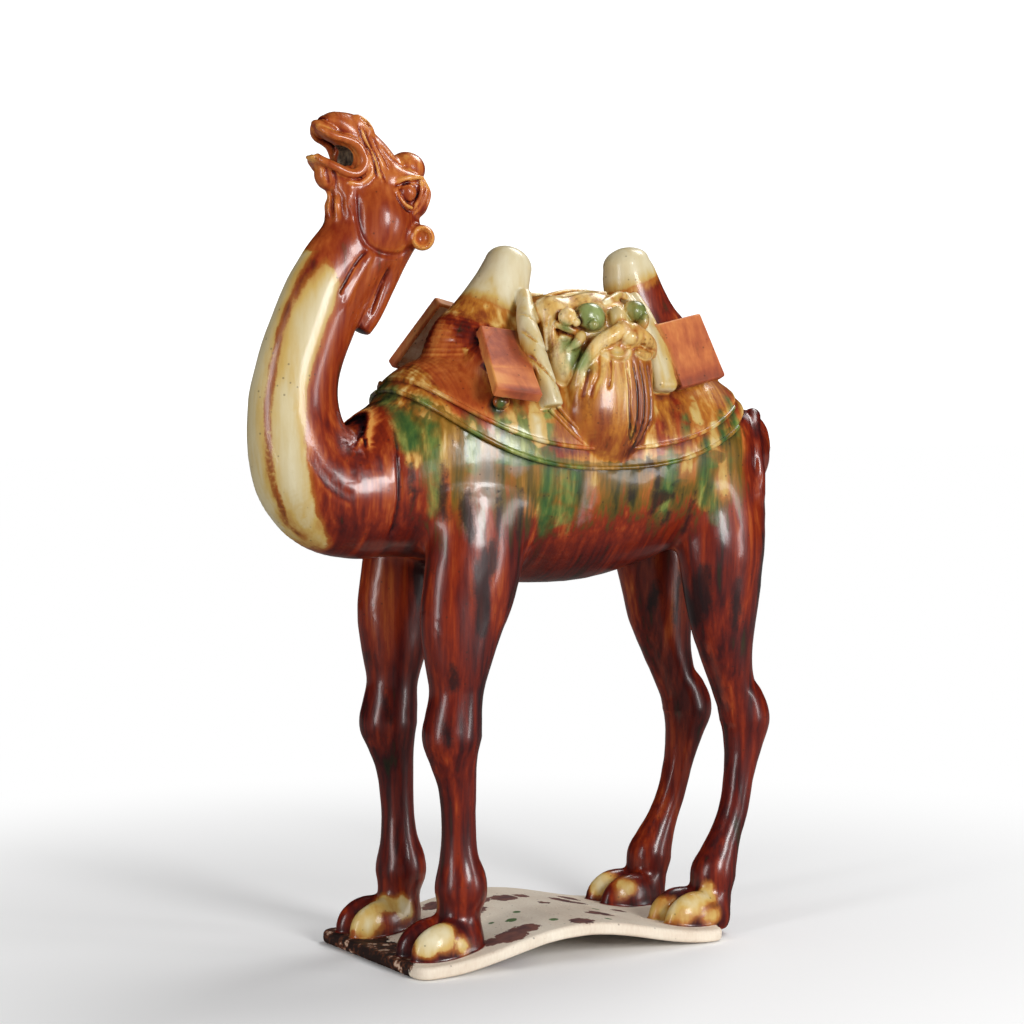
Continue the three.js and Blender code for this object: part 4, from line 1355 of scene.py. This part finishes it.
    # specks: iron specks, and pits shown as dots of painted shade
    speck = s.add("ShaderNodeGroup", node_tree=specks_group())
    colour = s.mix(s.math("MULTIPLY", speck, 0.5), colour, rgb(44, 26, 20))
    matt = s.math("MAXIMUM", s.math("MAXIMUM", on_slip, on_clay), on_bisque)
    rough = s.math("MULTIPLY_ADD", band, 0.16, s.math("MULTIPLY_ADD", in_cream, 0.14, 0.24))
    rough = s.math("MULTIPLY_ADD", matt, 0.4, s.math("MULTIPLY_ADD", on_board, 0.26, rough))
    bump = s.add("ShaderNodeBump", {
        "Strength": 0.3, "Distance": 0.0004, "Height": s.math("ADD", fine, streak),
    })
    shader = s.add("ShaderNodeBsdfPrincipled", {
        "Base Color": colour, "Roughness": rough, "Normal": bump,
        "Coat Weight": s.math("MULTIPLY", s.math("SUBTRACT", 1.0, s.math("MAXIMUM", matt, on_board)), 0.35),
    }, out=None)
    shader.inputs["Coat Roughness"].default_value = 0.14
    shader.inputs["IOR"].default_value = 1.5
    shader.inputs["Specular IOR Level"].default_value = 0.38
    s.add("ShaderNodeOutputMaterial", {"Surface": shader.outputs[0]}, out=None)
    return material


SEARCHED = ((-322, -128, -7), (322, 130, 846))  # the box in which the skin is looked for


def with_glaze(mesh, p, pool, lying):
    """Writes places and glaze fields of the points to the mesh."""
    for name, values in {**glaze_fields(p), "pool": pool, "lying": lying}.items():
        mesh.attributes.new(name, "FLOAT", "POINT").data.foreach_set("value", values.astype(np.float32))
    placed = (p + (PLATE_MIDDLE_X, 0, 0)) / MM
    mesh.vertices.foreach_set("co", placed.astype(np.float32).ravel())
    mesh.polygons.foreach_set("use_smooth", np.ones(len(mesh.polygons), bool))
    mesh.update()


def dressed(mesh, p):
    """Glaze fields, and normals from the distance field, which are smoother on the chest."""
    _, g = slope(p)
    chest = (p[:, 0] < -225) & (p[:, 2] < 700)
    _, g[chest] = slope(p[chest], 5.0)
    normals = g / np.linalg.norm(g, axis=1, keepdims=True)
    x, y, z = np.abs(normals).T
    lying = rise(z, 0.4, 0.7) * rise(y - x, -0.175, 0.075) * rise(p[:, 2], 590, 575)
    with_glaze(mesh, p, pooling(p, normals), lying)
    mesh.normals_split_custom_set_from_vertices(normals.astype(float).tolist())


def own_piece(obj):
    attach(obj, "root")


def make_figure(step, budget, material):
    verts, quads = without_crumbs(*skin(*SEARCHED, step))
    verts = onto_surface(verts.astype(np.float32))
    obj = show("glazed_camel", mesh_from("glazed_camel", verts, quads))
    x, _, z = verts.T
    head = rise(z, 690, 710) * rise(x, -110, -130)
    mask = rise(np.hypot(x - 46, z - 622), 78, 18)
    thinned(obj, budget, np.clip(head + mask * 0.8, 0, 1))
    dressed(obj.data, onto_surface(points_of(obj.data)))
    obj.data.materials.clear()
    obj.data.materials.append(material)
    own_piece(obj)
    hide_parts("camel_figure")


# Cords of clay laid along a path, and grains of kiln sand, as Geometry Nodes

def node_tree(name, inputs):
    tree = bpy.data.node_groups.new(name, "GeometryNodeTree")
    face = tree.interface
    face.new_socket("Geometry", in_out="INPUT", socket_type="NodeSocketGeometry")
    for label, kind in inputs:
        face.new_socket(label, in_out="INPUT", socket_type=kind)
    face.new_socket("Geometry", in_out="OUTPUT", socket_type="NodeSocketGeometry")
    return tree, tree.nodes.new("NodeGroupInput"), tree.nodes.new("NodeGroupOutput")


def ending(s, geometry, inlet, outlet):
    smooth = s.add("GeometryNodeSetShadeSmooth", {"Geometry": geometry})
    real = s.add("GeometryNodeRealizeInstances", {"Geometry": smooth})
    done = s.add("GeometryNodeSetMaterial", {"Geometry": real, "Material": inlet.outputs["Material"]})
    s.put(outlet.inputs["Geometry"], done)


def cord_tree():
    """A round cord along the object's edges, thinner towards its ends."""
    tree, inlet, outlet = node_tree("clay_cord", [
        ("Radius", "NodeSocketFloat"), ("Spacing", "NodeSocketFloat"), ("Sides", "NodeSocketInt"),
        ("Taper", "NodeSocketFloat"), ("Material", "NodeSocketMaterial"),
    ])
    s = Shade(tree)
    path = s.add("GeometryNodeMeshToCurve", {"Mesh": inlet.outputs["Geometry"]})
    even = s.add("GeometryNodeResampleCurve", {
        "Curve": path, "Length": inlet.outputs["Spacing"],
    }, mode="LENGTH")
    way = s.add("GeometryNodeSplineParameter", out=None).outputs["Factor"]
    to_end = s.math("MINIMUM", way, s.math("SUBTRACT", 1.0, way))
    share = s.math("MINIMUM", 1.0, s.math("ADD", 0.3, s.math("DIVIDE", to_end, inlet.outputs["Taper"])))
    sized = s.add("GeometryNodeSetCurveRadius", {"Curve": even, "Radius": share})
    ring = s.add("GeometryNodeCurvePrimitiveCircle", {
        "Resolution": inlet.outputs["Sides"], "Radius": inlet.outputs["Radius"],
    })
    swept = s.add("GeometryNodeCurveToMesh", {"Curve": sized, "Profile Curve": ring, "Fill Caps": True})
    ending(s, swept, inlet, outlet)
    return tree


FULL_TURN = 6.28  # in radians


def grain_tree():
    """Grains of uneven size scattered over the object's faces."""
    tree, inlet, outlet = node_tree("kiln_grains", [
        ("Density", "NodeSocketFloat"), ("Grain Size", "NodeSocketFloat"), ("Seed", "NodeSocketInt"),
        ("Material", "NodeSocketMaterial"),
    ])
    s = Shade(tree)
    points = s.add("GeometryNodeDistributePointsOnFaces", {
        "Mesh": inlet.outputs["Geometry"], "Density": inlet.outputs["Density"], "Seed": inlet.outputs["Seed"],
    })
    grain = s.add("GeometryNodeMeshIcoSphere", {"Radius": inlet.outputs["Grain Size"], "Subdivisions": 1})
    share = s.add("FunctionNodeRandomValue", {2: 0.35, 3: 1.0, "Seed": inlet.outputs["Seed"]}, out=1)
    turn = s.add("FunctionNodeRandomValue", {
        0: (0, 0, 0), 1: (FULL_TURN,) * 3, "Seed": inlet.outputs["Seed"],
    }, data_type="FLOAT_VECTOR")
    placed = s.add("GeometryNodeInstanceOnPoints", {
        "Points": points, "Instance": grain, "Rotation": turn, "Scale": share,
    })
    ending(s, placed, inlet, outlet)
    return tree


def grown(obj, tree, values):
    """The object's mesh replaced by what the tree makes of it."""
    maker = obj.modifiers.new(tree.name, "NODES")
    maker.node_group = tree
    for item in tree.interface.items_tree:
        if item.in_out == "INPUT" and item.name in values:
            maker[item.identifier] = values[item.name]
    settle(obj)
    if len(obj.data.vertices) == 0:
        raise RuntimeError(f"{obj.name} came out empty")
    return obj.data


def path_mesh(name, paths):
    """One mesh of open edge chains."""
    verts, edges = [], []
    for path in paths:
        first = len(verts)
        verts += [tuple(v) for v in path]
        edges += [(first + i, first + i + 1) for i in range(len(path) - 1)]
    mesh = bpy.data.meshes.new(name)
    mesh.from_pydata(verts, edges, [])
    return mesh


def outward(mesh):
    """Turns a closed mesh whose faces point inwards."""
    mesh.calc_loop_triangles()
    corner = np.empty(len(mesh.loop_triangles) * 3, np.int32)
    mesh.loop_triangles.foreach_get("vertices", corner)
    a, b, c = points_of(mesh)[corner].reshape(-1, 3, 3).transpose(1, 0, 2).astype(float)
    if np.einsum("ij,ij->i", a, np.cross(b, c)).sum() < 0:
        mesh.flip_normals()


def rim_path(side, lift, offset):
    """Points along a cloth edge on one flank: halving finds the trunk's skin, offset outwards."""
    x = np.arange(-166, 211, 4.0)
    z = rim_height(x) + lift
    low, high = np.zeros(len(x)), np.full(len(x), 130.0)
    for _ in range(24):
        middle = (low + high) / 2
        p = np.stack([x, side * middle, z], 1).astype(np.float32)
        outside = trunk(Cloud(p)) > offset
        high = np.where(outside, middle, high)
        low = np.where(outside, low, middle)
    return np.stack([x, side * low, z], 1)[low > 22]


SUNK = 0.3
CLOTH_EDGES = ((0, PAD - SUNK), (-RIM_GAP, BLANKET - SUNK))  # lift over the rim line, offset from the trunk
STRAPS = [
    [(-29, 99, 550), (-16, 102, 536), (-3, 105, 523), (10, 106, 513)],
    [(-20, 99, 553), (-7, 102, 538), (7, 105, 524), (18, 106, 515)],
]


def make_cords(radius, material):
    """The rolled edges of the cloth and the straps."""
    paths = [rim_path(side, *edge) for side in (-1, 1) for edge in CLOTH_EDGES]
    paths += [through_space(strap) * (1, side, 1) for strap in STRAPS for side in (-1, 1)]
    obj = show("cloth_cords", path_mesh("cloth_cords", [np.array(path) / MM for path in paths]))
    mesh = grown(obj, cord_tree(), {
        "Radius": radius, "Spacing": 0.003, "Sides": 10, "Taper": 0.12, "Material": material,
    })
    outward(mesh)
    p = points_of(mesh) * MM
    with_glaze(mesh, p.astype(np.float32), np.full(len(p), -0.15), np.zeros(len(p)))
    own_piece(obj)


def plate_top():
    """A sheet that lies on the base plate, inside its rounded edges."""
    inset = step = 8.0
    x, y = [np.arange(-half + inset, half - inset, step) for half in PLATE_HALF]
    flat_x, flat_y = np.meshgrid(x, y, indexing="ij")
    verts = np.stack([flat_x, flat_y, underside(flat_x) + PLATE_THICKNESS], -1).reshape(-1, 3)
    home = (np.arange(len(x) - 1)[:, None] * len(y) + np.arange(len(y) - 1)).ravel()
    quads = np.stack([home, home + len(y), home + len(y) + 1, home + 1], 1)
    return verts, quads


def make_grains(density, size, seed, material):
    """Grains of kiln sand on the plate."""
    verts, quads = plate_top()
    obj = show("kiln_grains", mesh_from("kiln_grains", verts / MM, quads))
    mesh = grown(obj, grain_tree(), {
        "Density": density, "Grain Size": size, "Seed": seed, "Material": material,
    })
    p = points_of(mesh) * MM
    with_glaze(mesh, p.astype(np.float32), np.zeros(len(p)), np.zeros(len(p)))
    own_piece(obj)


# Stage

WHITE = (1, 1, 1, 1)
BLACK = (0, 0, 0, 1)
PAPER = (0.93, 0.93, 0.93, 1)
PAPER_IN_GLOSS = (0.12, 0.1, 0.09, 1)
CAMERA_PLACE = (-1.3555, -2.220, 0.564)
CAMERA_AIM = (-0.0118, 0.0059, 0.4439)
FIGURE_MIDDLE = (0, 0, 0.42)
SOFT_BOXES = [
    # name, place, size, power
    ("key_box", (0.2, -2.5, 1.1), (0.6, 0.9), 42),
    ("right_box", (1.6, -2.0, 0.5), (0.35, 1.2), 14),
    ("left_box", (-2.5, -0.7, 0.8), (0.5, 1.6), 22),
    ("top_box", (1.4, 0.4, 2.3), (1.1, 0.8), 26),
]


def set_world():
    """White to the camera, grey to the surfaces that it lights and dark in their reflections."""
    world = bpy.data.worlds.new("studio")
    world.use_nodes = True
    tree = world.node_tree
    tree.nodes.clear()
    s = Shade(tree)
    path = s.add("ShaderNodeLightPath", out=None)
    unseen = s.math("SUBTRACT", 1.0, path.outputs["Is Glossy Ray"])
    strength = s.math("ADD", path.outputs["Is Camera Ray"], s.math("MULTIPLY", unseen, 0.26))
    shown = s.add("ShaderNodeBackground", {"Color": WHITE, "Strength": strength})
    s.add("ShaderNodeOutputWorld", {"Surface": shown}, out=None)
    bpy.context.scene.world = world


def floor_material():
    """Pale paper that runs out to white away from the figure and stays dark in reflections."""
    material = bpy.data.materials.new("floor_white")
    material.use_nodes = True
    tree = material.node_tree
    s = Shade(tree)
    path = s.add("ShaderNodeLightPath", out=None)
    away = s.add("ShaderNodeVectorMath", {0: s.place()}, out=1, operation="LENGTH")
    far = s.add("ShaderNodeMapRange", {
        "Value": away, "From Min": 0.3, "From Max": 1.2,
    }, interpolation_type="SMOOTHSTEP")
    lit = s.mix(far, PAPER, BLACK)
    shown = s.math("MULTIPLY", far, s.math("MULTIPLY_ADD", path.outputs["Is Camera Ray"], 0.9, 0.1))
    shader = tree.nodes["Principled BSDF"]
    for name, value in (
        ("Base Color", s.mix(path.outputs["Is Glossy Ray"], lit, PAPER_IN_GLOSS)),
        ("Roughness", 0.95),
        ("Specular IOR Level", 0.0),
        ("Emission Color", s.mix(shown, BLACK, WHITE)),
        ("Emission Strength", 1.0),
    ):
        s.put(shader.inputs[name], value)
    return material


def aimed(name, data, place, aim):
    """An object at place whose -Z axis looks at aim."""
    obj = show(name, data)
    obj.location = place
    obj.rotation_euler = (Vector(aim) - Vector(place)).to_track_quat("-Z", "Y").to_euler()
    return obj


def set_stage(floor_size, lamp_share):
    """Floor, surroundings, the photo's camera and four soft boxes."""
    bpy.ops.mesh.primitive_plane_add(size=floor_size, location=(0, 0, -0.0005))
    floor = bpy.context.object
    floor.name = "floor"
    floor.data.materials.append(floor_material())
    set_world()
    bpy.context.scene.view_settings.view_transform = "Standard"
    camera = bpy.data.cameras.new("camera")
    camera.lens = 89.2
    camera.sensor_width = 36
    camera.clip_end = 100
    bpy.context.scene.camera = aimed("camera", camera, CAMERA_PLACE, CAMERA_AIM)
    for name, place, size, power in SOFT_BOXES:
        lamp = bpy.data.lights.new(name, "AREA")
        lamp.shape = "RECTANGLE"
        lamp.size, lamp.size_y = size
        lamp.energy = power * lamp_share
        aimed(name, lamp, place, FIGURE_MIDDLE)


class GlazeSettings(bpy.types.PropertyGroup):
    """Colours of the glaze, the slip and the bare clay."""

    amber: FloatVectorProperty(
        name="Amber", description="Amber glaze where it lies at its usual depth", subtype="COLOR",
        size=3, min=0, max=1, default=rgb(134, 42, 14)[:3])
    cream: FloatVectorProperty(
        name="Cream", description="Cream glaze on bib, rolls, hump tips and toes", subtype="COLOR",
        size=3, min=0, max=1, default=rgb(210, 192, 146)[:3])
    green: FloatVectorProperty(
        name="Green", description="Green glaze on mask and saddle cloth", subtype="COLOR",
        size=3, min=0, max=1, default=rgb(56, 106, 50)[:3])
    slip: FloatVectorProperty(
        name="Slip", description="White slip on the base plate", subtype="COLOR",
        size=3, min=0, max=1, default=rgb(222, 206, 186)[:3])


class FigureSettings(bpy.types.PropertyGroup):
    """Fineness of the figure's skin."""

    cell: FloatProperty(
        name="Cell", description="Width of the cells that the skin is found in", unit="LENGTH",
        default=0.0017, min=0.0012, max=0.01, precision=4)
    triangles: IntProperty(
        name="Triangles", description="Most triangles that the skin keeps",
        default=198000, min=20000, max=199000)


class TrimSettings(bpy.types.PropertyGroup):
    """Cords on the cloth and grains on the plate."""

    cord_radius: FloatProperty(
        name="Cord radius", description="Radius of the rolled edges of the saddle cloth", unit="LENGTH",
        default=0.0023, min=0.001, max=0.006, precision=4)
    grain_density: FloatProperty(
        name="Grain density", description="Grains of kiln sand per square metre",
        default=2600, min=0, max=20000)
    grain_size: FloatProperty(
        name="Grain size", description="Radius of the largest grain", unit="LENGTH",
        default=0.0008, min=0.0002, max=0.003, precision=4)
    grain_seed: IntProperty(
        name="Grain seed", description="Which scatter of grains is laid", default=7, min=0)


class StageSettings(bpy.types.PropertyGroup):
    """Floor and lamps around the figure."""

    floor_size: FloatProperty(
        name="Floor size", description="Length of the square floor's sides", unit="LENGTH", default=40, min=4)
    lamp_power: FloatProperty(
        name="Lamp power", description="Share of each lamp's own power", subtype="FACTOR",
        default=1, min=0, max=3)


class CAMEL_OT_figure(bpy.types.Operator):
    """Make the glazed camel on its base plate as one fired piece"""

    bl_idname = "camel.figure"
    bl_label = "Glazed camel"

    def execute(self, context):
        settings = context.scene.camel_figure
        cell, triangles = settings.cell, settings.triangles
        material = glaze(context.scene.camel_glaze)
        make_figure(cell * MM, triangles, material)
        return {"FINISHED"}


class CAMEL_OT_cords(bpy.types.Operator):
    """Lay the rolled edges of the saddle cloth and the straps beside the pouches"""

    bl_idname = "camel.cords"
    bl_label = "Cloth cords"

    def execute(self, context):
        make_cords(context.scene.camel_trim.cord_radius, glaze(context.scene.camel_glaze))
        return {"FINISHED"}


class CAMEL_OT_grains(bpy.types.Operator):
    """Scatter grains of kiln sand over the base plate"""

    bl_idname = "camel.grains"
    bl_label = "Kiln grains"

    def execute(self, context):
        trim = context.scene.camel_trim
        make_grains(trim.grain_density, trim.grain_size, trim.grain_seed, glaze(context.scene.camel_glaze))
        return {"FINISHED"}


class CAMEL_OT_stage(bpy.types.Operator):
    """Set the pale floor, the lamps and the camera"""

    bl_idname = "camel.stage"
    bl_label = "Stage"

    def execute(self, context):
        settings = context.scene.camel_stage
        set_stage(settings.floor_size, settings.lamp_power)
        return {"FINISHED"}


class CAMEL_PT_panel(bpy.types.Panel):
    """Lists the settings and the steps that make the camel"""

    bl_idname = "CAMEL_PT_panel"
    bl_label = "Glazed Camel"
    bl_space_type = "VIEW_3D"
    bl_region_type = "UI"
    bl_category = "Camel"

    def draw(self, context):
        for settings, steps in (
            ("camel_glaze", ()), ("camel_figure", ("camel.figure",)),
            ("camel_trim", ("camel.cords", "camel.grains")), ("camel_stage", ("camel.stage",)),
        ):
            box = self.layout.box()
            group = getattr(context.scene, settings)
            for name in group.__annotations__:
                box.prop(group, name)
            for step in steps:
                box.operator(step)


GROUPS = {
    "camel_glaze": GlazeSettings, "camel_figure": FigureSettings,
    "camel_trim": TrimSettings, "camel_stage": StageSettings,
}
CLASSES = (*GROUPS.values(), CAMEL_OT_figure, CAMEL_OT_cords, CAMEL_OT_grains, CAMEL_OT_stage, CAMEL_PT_panel)


def register():
    for kind in CLASSES:
        bpy.utils.register_class(kind)
    for name, kind in GROUPS.items():
        setattr(bpy.types.Scene, name, PointerProperty(type=kind))


def unregister():
    for name in GROUPS:
        delattr(bpy.types.Scene, name)
    for kind in reversed(CLASSES):
        bpy.utils.unregister_class(kind)


def main():
    register()
    for make in (bpy.ops.camel.figure, bpy.ops.camel.cords, bpy.ops.camel.grains, bpy.ops.camel.stage):
        make()


if __name__ == "__main__":
    main()
